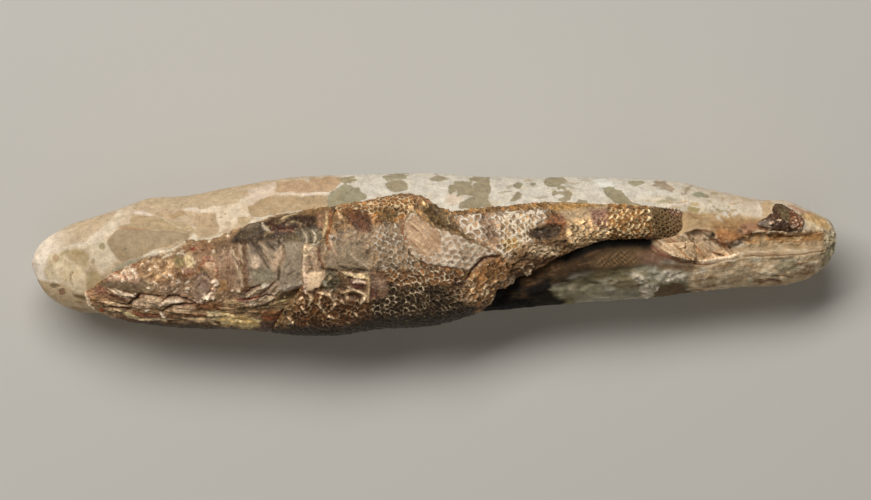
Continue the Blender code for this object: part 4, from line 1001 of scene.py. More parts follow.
    area("-49.7,-6 -48.9,-4.5 -47.6,-3.7 -46.6,-4.3 -45.7,-5.5 -46.2,-7.4 -47.2,-8.9 -48.9,-9.3 -49.9,-8.3",
         0.3, "#9e8674", height=0.5, calm=0.6)
    line("-49.5,-5.3 -48.7,-4.3 -47.6,-3.8 -46.6,-4.3 -45.7,-5.5", 0.3, "#624c40", height=-0.2)
    area("-48.7,-6 -47.4,-5.3 -46.6,-6.2 -47.2,-7.6 -48.5,-7.8", 0.4, "#ac9686", cover=0.8)
    line("-48.9,-6.6 -47.6,-5.3 -46.4,-6.2", 0.3, "#7a6454", height=-0.1)
    area("-46.2,-5.5 -44.5,-4.9 -44.7,-7 -45.7,-9.1 -47.8,-10.1 -49.5,-9.7 -49.5,-9.3 -47.4,-8.9 -45.9,-7.4",
         0.3, "#ba9e86", lumps=(0.6, 0.6))
    skin.beads("-45.5,-5.5 -45.3,-7 -46.2,-8.5 -47.6,-9.7 -49.1,-9.7", 26, 0.42, 64, 0.35, colour="#f0deca",
               height=0.25)
    veins("-44.3,2.4 -37.6,3 -37.2,-8.3 -43.4,-9.1", (5, 0.7), 0.28, "#7e5e48", 80, 69)
    line("-41.3,0.9 -40.7,-1.6 -39.9,-4.3 -39.5,-6.6", 0.42, "#c8b29a", height=0.25)
    line("-40.1,2.8 -39.7,0.5 -39.3,-1.6", 0.36, "#bca68e", height=0.2)
    for fleck in ((-41.6, -7.4), (-40.3, -7.5), (-45.5, 0.7), (-31.3, 2.8), (-42.6, 3.9), (-46.4, 3.0)):
        oval(fleck, (0.36, 0.3), 30, 0.12, "#ead6bc", height=0.15)
    line("-41.3,-0.3 -40.5,-1.6 -40.1,-2.8", 0.2, "#664c3a", height=-0.25)
    line("-39,3 -39,0.5 -38.4,-2.2 -37.8,-4.5", 0.28, "#62483a", height=-0.3)
    veins("-48.9,-9.9 -40.5,-9.3 -38.4,-10.8 -35.9,-12 -45.7,-12.4 -51,-11.2", (3, 0.6), 0.25, "#ceb08a", -6,
          70)
    area("-49.7,-9.9 -43.6,-9.9 -44.3,-11.6 -48.9,-11.6", 0.5, "#8a6242", lumps=(0.8, 0.25))
    area("-46.6,-12.7 -45.5,-11.8 -43.9,-12 -40.5,-12.7 -36.7,-13.5 -35.9,-15.2 -39.5,-15.4 -43.4,-14.7", 0.4,
         "#f2d090")
    veins("-47.2,-11.8 -41.6,-12 -35.9,-13.7 -35.5,-15.4 -45.7,-15", (4, 0.4), 0.2, "#ffeebe", -18, 71)
    oval((-45.3, -12.7), (1.4, 0.9), 0, 0.3, "#e8d4b0", lumps=(0.6, 0.3))

    # Skull roof: a dark plate, then dark and red-brown splinters.
    area("-42,2.8 -39.9,5.3 -38,6.4 -35.1,7 -28,9.1 -20,10.1 -20.9,6.4 -22.5,3 -31.3,3 -35.9,2.8 -38.4,2.2 "
         "-40.5,2.2", 0.5, "#3e2b1b")
    veins("-41.3,3 -35.1,7.6 -19.6,10.6 -20.9,2.2 -38.4,2.2", (4.0, 0.6), 0.35, "#342518", 18, 73)
    veins("-35.9,6.8 -20.6,10.6 -21.7,2.2 -34.7,3", (3.0, 0.45), 0.3, "#9e8662", 28, 76)
    area("-41.3,3.5 -39.9,5.1 -38,6.2 -35.9,6.6 -34.9,5.3 -36.3,3.7 -38.4,3 -40.5,3", 0.35, "#4a3c2c",
         height=0.4)
    area("-39.9,5.1 -38,6.2 -35.9,6.4 -35.5,5.5 -38,4.9", 0.35, "#766858", height=0.15)
    area("-34.2,6.4 -31.1,6.6 -27.8,6 -28,3.9 -31.3,3.9 -33.8,4.7", 0.4, "#462a1c", lumps=(1.0, 0.2))
    line("-33,5.8 -30.1,5.8 -27.5,5.5", 0.26, "#543226", height=-0.3)
    line("-31.7,4.9 -30.1,5.1 -28.4,4.5", 0.18, "#a07860", height=0.1)
    line("-35.3,6.4 -34.9,5.3 -34,4.7", 0.34, "#ded0ba", height=0.25)
    area("-29.6,8.1 -24.2,8.9 -23.8,6.4 -27.1,5.8", 0.4, "#3c2a1a", height=-0.15, lumps=(0.8, 0.2))
    line("-31.3,7.4 -29.4,8.3 -28,8.7", 0.22, "#d6c4a0", height=0.15)
    line("-30.5,6.2 -28.8,6.8 -27.1,6.4", 0.16, "#ac9676", height=0.1)
    area("-28.4,9.7 -21.7,10.4 -20.9,9.1 -24.2,8.5 -28,8.5", 0.4, "#8a6c48", lumps=(0.6, 0.2))
    area("-24.2,8.5 -20.9,9.1 -21.1,5.5 -23.8,5.5", 0.5, "#967458", lumps=(0.8, 0.25))
    area("-28.8,5.1 -24.2,5.5 -22.1,4.3 -23.4,2.2 -26.7,1.8 -28.8,3", 0.5, "#766a56", lumps=(0.9, 0.35))
    line("-25,5.1 -24.2,3.9 -24.4,2.6 -25.2,1.6", 0.22, "#ded2ba", height=0.15)
    line("-27.1,5.1 -26.1,3.9 -26.3,2.2", 0.2, "#beb49e", height=0.1)
    line("-25.5,4.7 -25.2,3", 0.2, "#403a2c", height=-0.15)
    line("-21.1,8.9 -21.5,6.8 -21.7,4.7 -22.3,2.6", 0.28, "#8c562c", height=-0.25)
    line("-22.1,8.5 -22.1,6 -22.7,3.9", 0.36, "#dec498", height=0.2)
    oval((-31.2, 2.8), (0.45, 0.4), 0, 0.12, "#f4ecdc", dome=0.3)
    area("-31.3,3.9 -28,3.9 -27.1,1.8 -30.5,1.8", 0.5, "#807052")
    line("-30.7,3 -29.6,2 -28.6,0.9", 0.22, "#544632", height=-0.2)

    # Gill cover: grey plates with folds and creases.
    area("-38.4,2.2 -31.7,3 -26.7,2.2 -26.7,-6.6 -32.1,-7.4 -35.9,-7.4 -38.4,-6.2", 0.5, "#a69583",
         height=0.1, calm=0.85)
    area("-37.6,-2.8 -33,-2.4 -32.8,-5.5 -35.9,-6 -37.6,-4.9", 0.6, "#948b78", calm=0.85)
    area("-30.7,2.2 -26.7,2.4 -26.7,-6.2 -31.3,-6.8 -31.9,-4.5 -30.7,-1.6", 0.35, "#a29482", height=0.18,
         calm=0.8)
    veins("-38.8,3 -31.3,3 -30.9,-2.8 -35.9,-3.7 -38.4,-1.6", (4, 0.7), 0.22, "#7c6a5a", -62, 72)
    # Painted shade below the skull roof's edge, fading down across the gill cover.
    area("-38.8,4.3 -28,4.3 -28.8,2.6 -31.7,1.8 -35.1,0.5 -37.2,-1.6 -38.4,-1.6", 1.2, "#625240", cover=0.55)
    veins("-39.3,3.5 -30.1,3.9 -31.3,1.4 -35.5,-0.3 -38.4,-0.7", (2.5, 0.6), 0.15, "#4a3a2a", -50, 79)
    for fold, height, colour in (
        ("-38.4,2.2 -37.4,-0.7 -37,-3.2", 0.2, "#a8947e"),
        ("-37.6,2.2 -35.9,0.1 -34.7,-1.6 -33.8,-2.8", -0.25, "#6c5c4c"),
        ("-35.9,2.6 -34.2,0.9 -32.8,-0.1 -31.3,1.6", 0.2, "#b6a28a"),
        ("-35.1,0.9 -33.8,-0.7 -33,-2", 0.2, "#b09c84"), ("-34.2,3 -33,1.8 -31.5,2", -0.2, "#6a5c4c"),
        ("-30.9,1.8 -30.7,-0.3 -31.7,-2.8 -32.1,-5.3", -0.4, "#584836"),
        ("-30.9,-3.7 -30.5,-2.4 -29.4,-1.6", -0.1, "#7c7060"), ("-30.1,-4.1 -28.6,-3.2", -0.1, "#7e7262"),
    ):
        line(fold, 0.3, colour, height=height)
    area("-37.6,-0.9 -36.7,-0.3 -35.9,-0.9 -35.7,-2.2 -36.5,-2.8 -37.6,-2.2", 0.6, "#e0cab2", height=0.15,
         calm=0.85)
    area("-32.6,-0.7 -31.3,1.6 -30.7,-0.3 -31.5,-2.4 -33,-3.2 -33.4,-2", 0.6, "#dabea4", height=0.15,
         calm=0.85)
    line("-32.4,-7.4 -29.6,-6.6 -26.7,-6", 0.6, "#c0b4a6", height=0.2, calm=0.6)
    area("-31.7,-8.3 -29.6,-7.4 -26.7,-7 -26.7,-8.9 -30.1,-9.7 -32.1,-9.7", 0.4, "#54422a", height=-0.3)
    area("-40.5,-8.3 -35.9,-6.2 -32.6,-5.3 -31.9,-7.8 -35.5,-10.1 -39.7,-10.8", 0.5, "#9e8872")
    for ridge in (
        "-38.6,-8.7 -36.7,-7.2 -34.7,-6.6", "-37.8,-9.5 -35.5,-8.5 -33.4,-6.8",
        "-35.9,-9.5 -34.2,-8.3 -32.4,-6.2", "-38,-10.4 -35.5,-10.1 -33,-8.9",
        "-35.1,-9.9 -33.4,-8.9 -32.1,-7.6",
    ):
        line(ridge, 0.32, "#c6b29a", height=0.3)
    for crease in (
        "-38.8,-7.8 -37.2,-6.8 -35.7,-6.2", "-38.8,-9.3 -36.3,-8.9 -34.2,-7.2 -32.6,-5.5",
        "-35.9,-8.9 -34.2,-8.3 -33,-8.5",
    ):
        line(crease, 0.22, "#684638", height=-0.35)
    line("-40.7,-9.5 -38.4,-9.3 -35.9,-8.5", 0.24, "#8e4838", height=-0.1)
    oval((-34.7, -6.3), (0.9, 0.5), 10, 0.2, "#e2d8c8", lumps=(0.5, 0.4))
    line("-37.8,-10.1 -37.2,-9.7", 0.3, "#ece0cc", height=0.2)
    veins("-41.3,-10.1 -28,-8.7 -26.7,-9.5 -28,-11.2 -35.9,-12.4 -40.5,-12", (6, 0.5), 0.3, "#5c4a2a", 9, 77)
    line("-37.2,-11 -33.2,-10.4 -28.8,-9.3", 0.2, "#463822", height=-0.2)
    line("-34.2,-10.6 -31.1,-9.7 -28.4,-9.3", 0.2, "#beac7c", height=0.2)
    line("-33.4,-12.4 -31.3,-11.4 -29.2,-11", 0.34, "#e2d0ac", height=0.25)
    area("-35.9,-12 -30.1,-11.2 -28,-12 -30.1,-14.1 -35.1,-14.1", 0.5, "#865c3a", lumps=(0.8, 0.3))
    line("-35.5,-12.9 -33,-13.5 -30.5,-13.5", 0.24, "#78422c")
    area("-35.9,-13.9 -30.1,-13.9 -29.6,-18.9 -35.9,-18.9", 0.4, "#684c3c")
    # Painted shade along the head's lower edge, under the jaw.
    area("-72.3,-13.3 -63.5,-13.7 -55.2,-14.1 -45.7,-15 -35.9,-15.6 -30.1,-16.2 -30.1,-20 -72.3,-20", 0.6,
         "#4c3f2c")

    skin.weather(2.4, 0.2, 0.2, 63)
    skin.weather(0.9, 0.12, 0.24, 64)
    skin.crumble(1.5, 0.16, 0.15, 60)
    skin.crumble(0.7, 0.08, 0.16, 59)
    edge, _ = from_line(x, y, GILL_EDGE)
    shoulder = (1 - smooth_step(0.5, 3.0, y)) * smooth_step(-1.6, 0.2, edge)
    skin.relief -= 0.5 * shoulder + 2.6 * smooth_step(0, 0.6, edge)
    return skin


def fish_trunk():
    places = ring_places(TRUNK_START, FISH_HIGH, TRUNK_RINGS, 0.5, 70)
    skin = Skin(fish_surface, places, TRUNK_AROUND, 0.75, (TRUNK_START - 0.2, FISH_HIGH), lowest=-0.2)
    x, y, points = skin.x, skin.y, skin.points
    area, line, veins, oval = skin.area, skin.line, skin.veins, skin.oval
    lay_lattice(skin)
    skin.coat("#8c6c48", net=1.0)
    skin.net_tint[:] = linear(NET_CREAM)
    # Painted shade: the underside, where the marks fade out, is coated dark brown.
    skin.coat("#463624", 1 - skin.reach)
    skin.relief += 0.14 * rough_noise(points, 4, 3, 81)

    def cells(outline, soft, colour, net_colour, net=1.0, calm=0.0, finer=1.0, **look):
        """Paint scales of a colour in a net of another, whose cells may be finer than elsewhere."""
        at, mask = skin.inside(outline, soft)
        skin.mark(at, mask, colour=colour, net=net, calm=calm, **look)
        skin.lattice[at[mask > 0.5], :2] *= finer
        skin.net_tint[at] += mask[:, None] * (linear(net_colour) - skin.net_tint[at])

    # The flank in front: golden back, worn grey middle, orange belly that darkens behind.
    cells("-22.7,4.1 -17.5,5.5 -7.1,6.8 -5,0.9 -2.9,-3.2 -12.3,-3.7 -22.7,-3.2", 0.9, "#927b62", "#e2d4be",
          1.4, 0.3, 1.35)
    cells("-21.7,2 -15.4,3 -12.9,-1.6 -15.4,-3.2 -22.1,-2.8", 0.8, "#978670", "#c2b29c", 0.35, 0.6)
    cells("-24.2,10.1 -18.6,10.1 -11.2,11.8 -5,12.4 -2.9,10.4 -6,6.8 -13.3,6.4 -18.6,8.1", 0.7, "#8e6236",
          "#ecd0a2", 1.48, finer=1.45)
    cells("-18.6,8.9 -15.4,9.1 -12.7,7.6 -12.9,4.7 -15.4,4.7 -17.5,6.8", 0.7, "#5e3c26", "#967054", 0.6)
    cells("-12.1,8.9 -8.7,9.7 -7.1,8.1 -8.7,6.4 -11.2,6.8", 0.6, "#70542e", "#aa9268")
    cells("-28,-6.4 -23.8,-6.4 -18.6,-8.7 -13.3,-9.5 -12.9,-17.9 -30.1,-17.9", 0.6, "#5e3d22", "#d2b084",
          1.25, 0, 1.2)
    cells("-12.9,-4.5 -7.1,-3.2 -0.8,-2.8 5.5,-4.1 7.6,-7.4 5.5,-11.6 5.5,-17.9 -12.9,-17.9", 0.7, "#3e2f1e",
          "#e8cea8", 1.3, 0, 1.35)
    cells("-12.3,-3.2 -7.1,-2.8 -0.8,-2.4 5.5,-3.7 5.9,-6.2 -0.8,-6.2 -7.1,-6.6 -11.7,-5.3", 0.6, "#7c5838",
          "#eed5b2", 1.46)
    cells("-13.5,-3.2 -12.1,-3.2 -9.6,-4.9 -9.6,-8.7 -11.7,-9.5 -13.5,-9.5", 0.5, "#967860", "#c4a890", 0.5)

    # The strip behind the gill cover.
    cells("-27.1,3 -22.9,3 -22.5,-3.7 -27.1,-4.5", 0.5, "#a58d75", "#ceb69a", 0.15, lumps=(1.1, 0.3))
    cells("-28,8.9 -21.7,9.3 -22.1,2.2 -27.1,1.8", 0.5, "#88785a", "#c8b898", 0.2, lumps=(1.0, 0.35))
    oval((-25.5, 3.9), (1.3, 1.5), 0, 0.4, "#746a58", net=0)
    line("-24.8,4.9 -24.4,3 -25.5,1.4 -26.3,-0.3", 0.2, "#d8c8a8", height=0.12, net=0)
    skin.beads("-26.7,3.9 -25,4.7 -24.2,3 -25,0.9", 22, 0.3, 65, 0.5, colour="#d6ccb6", height=0.15)
    skin.beads("-26.3,1.8 -24.6,-0.3 -23.8,-2.8", 14, 0.3, 66, 0.6, colour="#ceb096", height=0.1)
    line("-20.9,8.5 -21.5,5.5 -22.1,3 -21.7,0.9", 0.32, "#8c582e", height=-0.3, net=0)
    line("-22.1,8.5 -22.7,5.5 -23.4,3", 0.35, "#d6b88c", height=0.2, net=0)
    line("-23.4,2.2 -23.8,-0.3 -22.9,-2 -22.5,-3.7", 0.26, "#785840", height=-0.3, net=0)
    line("-19.6,8.7 -19,7.4", 0.4, "#debe96", net=0)
    line("-21.3,3 -20.9,1.4 -20,-0.3", 0.24, "#ceac92", height=0.1, net=0)
    line("-17.5,0.5 -15.8,-1.2 -13.3,-2.8", 0.22, "#c4b4a0", height=0.1)
    line("-17.1,-1.6 -15,-2.6 -12.9,-3.7", 0.2, "#6e5e4a", height=-0.1)
    # Painted highlight on the trunk's raised front edge, which faces the light, on top of its modelled step.
    line("-26.7,3 -26.7,-1.6 -26.7,-6.2", 0.34, "#e2ccac", height=0.1, net=0)

    # The pectoral recess, with its cream blob and rims.
    cells("-22.7,-2.8 -19.6,-3.2 -13.5,-4.1 -13.5,-8.9 -17.1,-9.5 -21.7,-8.3 -23.4,-7.4", 0.35, "#705842",
          "#a08a70", 0.1, height=-0.55, lumps=(1.0, 0.3))
    area("-22.7,-2.8 -20.4,-3.2 -19.2,-5.8 -20,-7.8 -22.5,-7.4", 0.4, "#665c4a", net=0, lumps=(0.6, 0.3))
    line("-22.9,-5.5 -22.3,-6.4", 0.4, "#ceccb8", height=0.2)
    line("-21.7,-5.8 -21.3,-4.9", 0.26, "#c4b092", height=0.15)
    area("-26.3,-6.2 -26.3,-4.5 -25.2,-3.7 -22.7,-3.5 -22.3,-4.7 -23.4,-6.6 -24.4,-6.8 -25,-7.4 -26.1,-7.2",
         0.3, "#fce0be", height=0.35, net=0, calm=0.9)
    # Painted highlight continuing down the trunk's lit front edge.
    line("-26.7,-1.6 -26.5,-4.5 -26.5,-7.8", 0.4, "#dec4b0", height=0.2, net=0)
    area("-20.2,-3 -18.3,-3.7 -15.8,-4.1 -13.5,-3.7 -13.5,-5.3 -15.8,-5.1 -18.3,-4.3", 0.22, "#f2dab2",
         height=0.45, net=0)
    line("-19.4,-2.4 -17.1,-3.2 -13.5,-3.5", 0.36, "#483c30", height=-0.3, net=0)
    area("-17.1,-5.5 -14.6,-5.5 -14.2,-7.4 -16.7,-7.6", 0.3, "#54322a")
    line("-16.5,-6 -15.4,-5.5 -14.2,-6", 0.4, "#e4ccba", height=0.2)
    line("-17.7,-7 -17.3,-7.2", 0.3, "#dcc2a8")
    line("-19,-8.1 -17.1,-7.6 -15,-8.1", 0.26, "#d8bc96", height=0.2)
    line("-18.6,-8.9 -16.7,-8.7 -14.8,-9.3", 0.4, "#4e301c", height=-0.3)
    line("-16.7,-7.4 -14.8,-8.1 -14,-8.5 -14.4,-9.3 -15.2,-9.9", 0.3, "#f6debc", height=0.35, net=0)
    line("-13.5,-4.1 -13.3,-6.6 -13.5,-9.7", 0.3, "#dec29a", height=0.3)
    for stroke in (
        "-24,-7.8 -21.5,-8.3 -20.9,-7.4", "-21.5,-8.3 -20.6,-9.3 -20.2,-10.1 -21.1,-11.4",
        "-23.4,-8.7 -23.8,-10.4 -22.3,-12", "-19,-9.5 -18.6,-10.1", "-18.1,-8.7 -17.7,-9.1",
        "-26.1,-7.8 -25.2,-9.1 -25.9,-10.4", "-28,-9.3 -27.1,-8.9", "-27.5,-10.8 -26.7,-12",
        "-21.7,-12.7 -20.6,-13.3", "-16.5,-11.8 -15.8,-12.7", "-30.1,-12.9 -29.2,-13.9 -30.1,-14.3",
    ):
        line(stroke, 0.26, "#e8ceac", height=0.3)
    area("-13.3,-6.4 -11.4,-7 -11.4,-8.9 -13.1,-8.9", 0.35, "#68443a", net=0.2)
    area("-13.1,-4.7 -10.4,-5.1 -9.6,-7 -12.1,-7.4", 0.5, "#987e6c", net=0.4)

    # The worn plate in front of the fault, with a finer net.
    plate = (
        "-5.6,7.6 -4.5,8.9 -1.8,6.8 1.3,5.1 3.8,4.3 7.6,2.8 12.2,0.9 13.9,-0.7 9.7,-0.7 7.6,-3.7 5.9,-2.8 "
        "1.3,-2.4 -1.2,-2.2 -3.9,-0.7 -6,2.4 -6.4,5.1"
    )
    at, depth = skin.within(plate, 1)
    at = at[depth > 0]
    c, s = math.cos(math.radians(-8)), math.sin(math.radians(-8))
    turned = (x[at] * c + y[at] * s) / 1.6, (y[at] * c - x[at] * s) / 2.3
    skin.lattice[at] = np.stack([*turned, np.full(len(at), 0.7)], axis=-1)
    cells(plate, 0.3, "#a6886c", "#dec9ae", 1.58, 0.5, height=0.3)
    cells("1.3,4.7 7.6,2.6 13.9,-0.7 7.6,-3.2 1.3,-2", 0.8, "#b2987f", "#e6d3ba", 1.6, 0.45)
    cells("-6.4,6.8 -3.3,7.2 0.9,4.3 1.3,0.9 -2,-0.3 -5.4,3", 0.8, "#c0a183", "#e2c8a8", 0.5, 0.9)
    line("-5.4,8.7 -6.2,6.8 -6.4,4.7 -5.4,2.4 -3.7,-0.1 -2,-1.8 1.3,-2.4 4.4,-2.8 5.9,-3.7", 0.24, "#8a583a",
         height=-0.25)
    cells("-3.3,9.7 -0.4,10.8 2.4,9.3 3.8,6.8 7.6,3.5 4.4,4.7 1.3,5.5 -1.8,7.6", 0.45, "#685234", "#c6ae82",
          1.1, lumps=(0.9, 0.3))
    veins("-5,10.1 -1.6,11.4 -0.4,10.8 -2.5,8.9 -3.7,8.1", (2, 0.6), 0.06, "#cea880", -50, 87)
    line("-7.5,11.4 -4.5,12 -2,11.2 0.5,10.8", 0.5, "#846042", height=0.1)
    veins("-6.2,11 -1.6,11.6 -2,8.9 -4.5,6.8 -6.2,8.1", (1.0, 0.5), 0.08, "#f0d09e", -60, 84)
    veins("-6,6 -3.3,6.8 0.9,3.9 0.9,0.9 -2,0.1 -5.4,3", (5, 0.4), 0.12, "#885e40", -40, 83)
    veins("-6,6 -3.3,6.8 0.9,3.9 0.9,0.9 -2,0.1 -5.4,3", (4, 0.4), 0.08, "#e8c8a8", -40, 99)

    # The lobe that curls out of the belly, and the V of cream scales behind it.
    lobe = (
        "7.2,-5.3 8.4,-3 10.7,-0.9 13.4,-0.3 15.1,-1.6 16.4,-4.3 15.5,-7.4 13.9,-9.9 7.6,-10.6 5.1,-9.5 "
        "5.9,-7"
    )
    cells(lobe, 0.5, "#9a724b", "#f0d8b2", 1.35, height=0.5)
    cells("8.4,-3.2 13.4,-0.3 15.5,-2.8 12.8,-5.3 8.8,-5.3", 0.8, "#966f48", "#d6b488", 0.8)
    # Painted shadow in a groove along the lobe's upper edge, under the plate's edge.
    line("6.7,-5.3 8,-3 10.5,-0.7 12.2,-0.3 13.9,-0.3", 0.3, "#5c3622", height=-0.5, net=0)
    line("13.2,0.1 14.9,-1.8 16.4,-4.3 16.8,-5.3", 0.26, "#6e442e", height=-0.3)
    veins("4.4,-6.2 12.6,-5.3 12.6,-9.5 7.6,-10.1 4.7,-9.5", (2.6, 0.5), 0.25, "#f0d6b0", 68, 88)
    area("3,-7 4.7,-4.9 6.3,-5.3 5.5,-7.8 3.4,-9.1", 0.4, "#563c2a", height=-0.2)
    cells("3.8,8.9 13.9,9.7 23.3,10.4 23.3,4.7 20.1,2 15.9,-1.8 12.8,0.5 9.3,2.6 5.5,5.1", 0.6, "#ae9275",
          "#faead4", 1.6, 0.2)
    cells("13.9,8.3 20.1,8.9 22.2,6.2 19.7,2 15.5,-1.6 13.9,1.4", 0.8, "#ae8e69", "#fae9cd", 1.6, 0.2, 1.15)
    cells("10.5,8.5 12.6,6.8 13.6,1.8 11.3,3 9.5,6.4", 0.6, "#947862", "#dcc6aa", 1.1, 0.2)
    cells("3.4,9.7 9.7,9.9 23.3,11 23.3,9.5 13.9,8.9 7.6,8.3 3.8,8.1", 0.4, "#8a663c", "#dcba86", 1.3,
          finer=1.5)
    cells("13.9,3 17,3.5 18,1.8 14.9,0.5", 0.5, "#a07c4c", "#f0d6a6", 1.5)
    line("4.4,8.5 7.6,7.8 10.9,8.3", 0.3, "#8a6236")

    # The stalk: a cavity, crystals, smooth tan stone, brown layers, golden scales, and a dark slit patch.
    cells("24.9,10.8 29.5,11 36,10.8 36,8.9 32.7,6.8 29.5,6.4 26.4,7.6", 0.5, "#b49c7d", "#d4ba96", 0.0, 0.5)
    cells("23.3,10.1 27.4,10.8 34.8,11 34.8,10.1 28.5,9.3 24.7,8.9", 0.4, "#aa8654", "#d8b47c", 0.2)
    cells("27.4,6.8 36,8.5 43.1,10.1 45.2,8.9 44.8,3 34.8,3 30.6,1.8 27.4,3", 0.5, "#e2c094", "#f6e2be", 1.2)
    cells("28.5,4.3 36,6.4 36.4,3 30.6,1.6", 0.5, "#e4c092", "#f8e6c4", 1.3)
    cells("32.3,9.3 35.6,9.3 37.3,7.6 35.6,5.3 33.1,6", 0.5, "#8c6858", "#bea08c", 0.3)
    area("22.8,7 24.7,8.7 26.8,8.1 27.7,5.5 25.6,4.3 23.5,4.7", 0.5, "#966848", height=-0.2, net=0,
         lumps=(0.9, 0.35))
    area("19.5,4.1 20.8,5.5 22.8,5.8 23.9,6.4 26.4,6 26.4,3.9 24.3,3 21.2,3", 0.5, "#443628", height=-0.7,
         net=0, lumps=(0.8, 0.3))
    area("14.9,-2 16.4,0.1 19.1,2.2 23.3,3 27.7,3.5 28.1,0.9 25.4,-0.3 23.3,-1.6 20.1,-1.6 17,-3.2", 0.5,
         "#70583e", net=0, lumps=(0.8, 0.7))
    area("18.9,1.4 20.5,2.2 23.3,1.8 26,1.4 25.6,-0.3 23.3,-0.7 20.1,0.1", 0.5, "#b4a084", net=0,
         lumps=(0.5, 0.6))
    area("14.9,-3.7 18,-1.6 23.3,-0.5 28.5,0.3 35.6,2.4 35.6,-2 26.4,-3.7 20.1,-4.9 15.5,-5.8", 0.4,
         "#684e36", net=0)
    veins("14.9,-3.2 23.3,-0.3 35.6,2.6 35.6,-2.4 20.1,-5.3 15.5,-5.8", (6, 0.6), 0.35, "#a8805a", 14, 89)
    line("14.9,-5.5 20.1,-4.5 26.4,-3 35.6,-1.6", 0.3, "#d6c2a4", height=0.2)
    cells("36,10.6 45.2,10.6 46.5,8.9 44.8,1.8 41,2.6 36,3", 0.5, "#8c6232", "#f0d6a4", 1.2)
    cells("44.8,9.7 47.3,9.9 51.9,8.9 52.3,3.9 48.1,3 45.6,4.7", 0.35, "#2e2114", "#846945", 2.4, 0.3, 1.25)
    cells("48.1,9.7 49.8,9.5 51.9,8.7 51.7,7.6 49.4,8.3", 0.3, "#967054", "#ba967a", 1.2)
    comb = "27.4,6.8 32.7,6 36.4,9.7 45.2,10.1 45.6,3.5 40.6,2.6 35.6,3 28.5,1.6"
    at, depth = skin.within(comb, 0.5)
    inside = smooth_step(0, 0.8, depth)
    drift = 0.4 * noise(points[at], 1.9, 90) + 0.25 * noise(points[at], 0.8, 98)
    rows = skin.girth[at] / 1.5 + 0.35 * noise(points[at], 2.6, 105)
    within = rows - np.floor(rows)
    turns = (x[at] - 0.25 * y[at] + drift) / 1.15 + 0.5 * np.floor(rows) + 1.2 * (within - 0.5) ** 2
    wave = np.sin(2 * np.pi * turns)
    kept = smooth_step(0, 0.3, within) * smooth_step(0, 0.2, 1 - within)
    kept = kept * smooth_step(-0.6, 0.1, noise(points[at], 1.1, 103))
    skin.mark(at, inside * kept * smooth_step(0.2, 0.8, wave), height=0.16, colour="#f6e0b4", net=0)
    skin.mark(at, inside * smooth_step(0.3, 0.9, -wave), height=-0.12, colour="#785026", cover=0.6)
    for crystal in (
        "15.5,-4.5 16.8,-4.1 17,-5.5 15.9,-5.8", "18.9,-3.7 20.3,-3.2 20.3,-4.3 19.3,-4.5",
        "21.4,-3.2 23.1,-3.2 22.6,-4.5", "19.7,-2 20.5,-1.8 20.8,-2.6", "22.4,0.9 23.3,1.4 23.5,0.3",
        "24.9,0.9 25.6,0.5 24.5,-0.1", "17.8,-2.8 18.5,-2.4 18.7,-3.2",
    ):
        area(crystal, 0.25, "#f0d8bc", net=0, height=0.2, lumps=(0.5, 0.5))
    area("43.1,3.5 45.6,4.3 47.3,3 46.3,0.9 43.1,1.4", 0.4, "#846046", net=0.3, lumps=(0.8, 0.3))

    # Painted shadow on the trunk's low side over the recess, also sunk 1.5 mm.
    area("13.2,-7.2 16.4,-6.2 21.2,-4.7 26.4,-3.5 26.4,-9.5 13.9,-12.4 11.3,-11.2", 0.5, "#281f14",
         height=-1.5, net=0)
    # Painted shade: scales darkened along the belly's underside.
    cells("-34.2,-15.4 -28,-15 -19.6,-15 -12.9,-13.3 -2.9,-12.4 5.9,-11.2 8.6,-9.5 8.6,-20 -34.2,-20", 1.0,
          "#362c1e", "#685a44", 0.6)

    edge, _ = from_line(x, y, GILL_EDGE)
    skin.relief -= 3.2 * smooth_step(0.0, 0.35, -edge - 0.15)
    skin.weather(1.1, 0.12, 0.3, 85)
    skin.crumble(0.8, 0.08, 0.22, 86)
    skin.raise_lattice(0.22)
    return skin


# ---------------------------------------------------------------- the tail fin and the chip


def fin_rays():
    places = ring_places(FIN_ROOT, FIN_TIP, FIN_RINGS, 20, 40)
    skin = Skin(fin_surface, places, FIN_AROUND, 0.6, (FIN_ROOT, FIN_TIP), ragged=0.12)
    area, line, veins = skin.area, skin.line, skin.veins
    skin.coat("#c0a484", calm=0.4)
    whole = "44.2,5.1 65.1,5.1 65.1,-3.2 44.2,-3.2"
    veins(whole, (4.5, 0.4), 0.08, "#b08c66", -36, 91)
    veins(whole, (3.0, 0.35), 0.1, "#dec6a4", -40, 92)
    area("46.3,3 49.8,3.5 53.6,2.2 53.2,0.1 49.4,-0.3 46.9,0.9", 0.5, "#e0c4a2", cover=0.8, calm=0.7)
    veins("47.3,0.9 53.6,-0.3 55.7,-2 47.3,-1.6", (1.0, 0.35), 0.16, "#ecd6ba", -60, 93)
    for stroke, width, colour, height in (
        ("46.9,0.5 49,-0.7 51.5,-1.4", 0.3, "#845442", -0.15),
        # The dark stroke down 52.1 is painted shadow beside the pale Y-shaped ray.
        ("53,3.5 52.3,2.4 51.7,1.6", 0.26, "#f0d8b6", 0.3), ("52.1,2.4 52.1,1.2", 0.24, "#78482a", -0.25),
        ("50.9,1.4 52.3,2", 0.24, "#ecd2b0", 0.2), ("53.6,3 55.7,1.8 58.2,1.2", 0.24, "#e2c29a", 0.25),
        ("56.3,2.4 58.6,1.2 61.1,0.1", 0.26, "#f0d8b4", 0.35),
        ("56.5,1.6 58.4,0.3 60.3,-0.3", 0.24, "#704228", -0.3),
        ("54.2,1.8 55.7,-0.3 56.9,-1.6", 0.2, "#ae7e56", -0.2),
        ("52.3,1.2 54.4,-0.7 56.1,-1.8", 0.2, "#ecd2ae", 0.25),
        ("49.8,2 51.7,0.1 53.6,-1.4", 0.2, "#b6885e", -0.2),
        ("56.3,-1.3 58.8,-0.9 61.3,-0.5 63.4,0.1", 0.3, "#f8e6ca", 0.4),
    ):
        line(stroke, width, colour, height=height)
    skin.crumble(0.6, 0.03, 0.06, 94)
    return skin


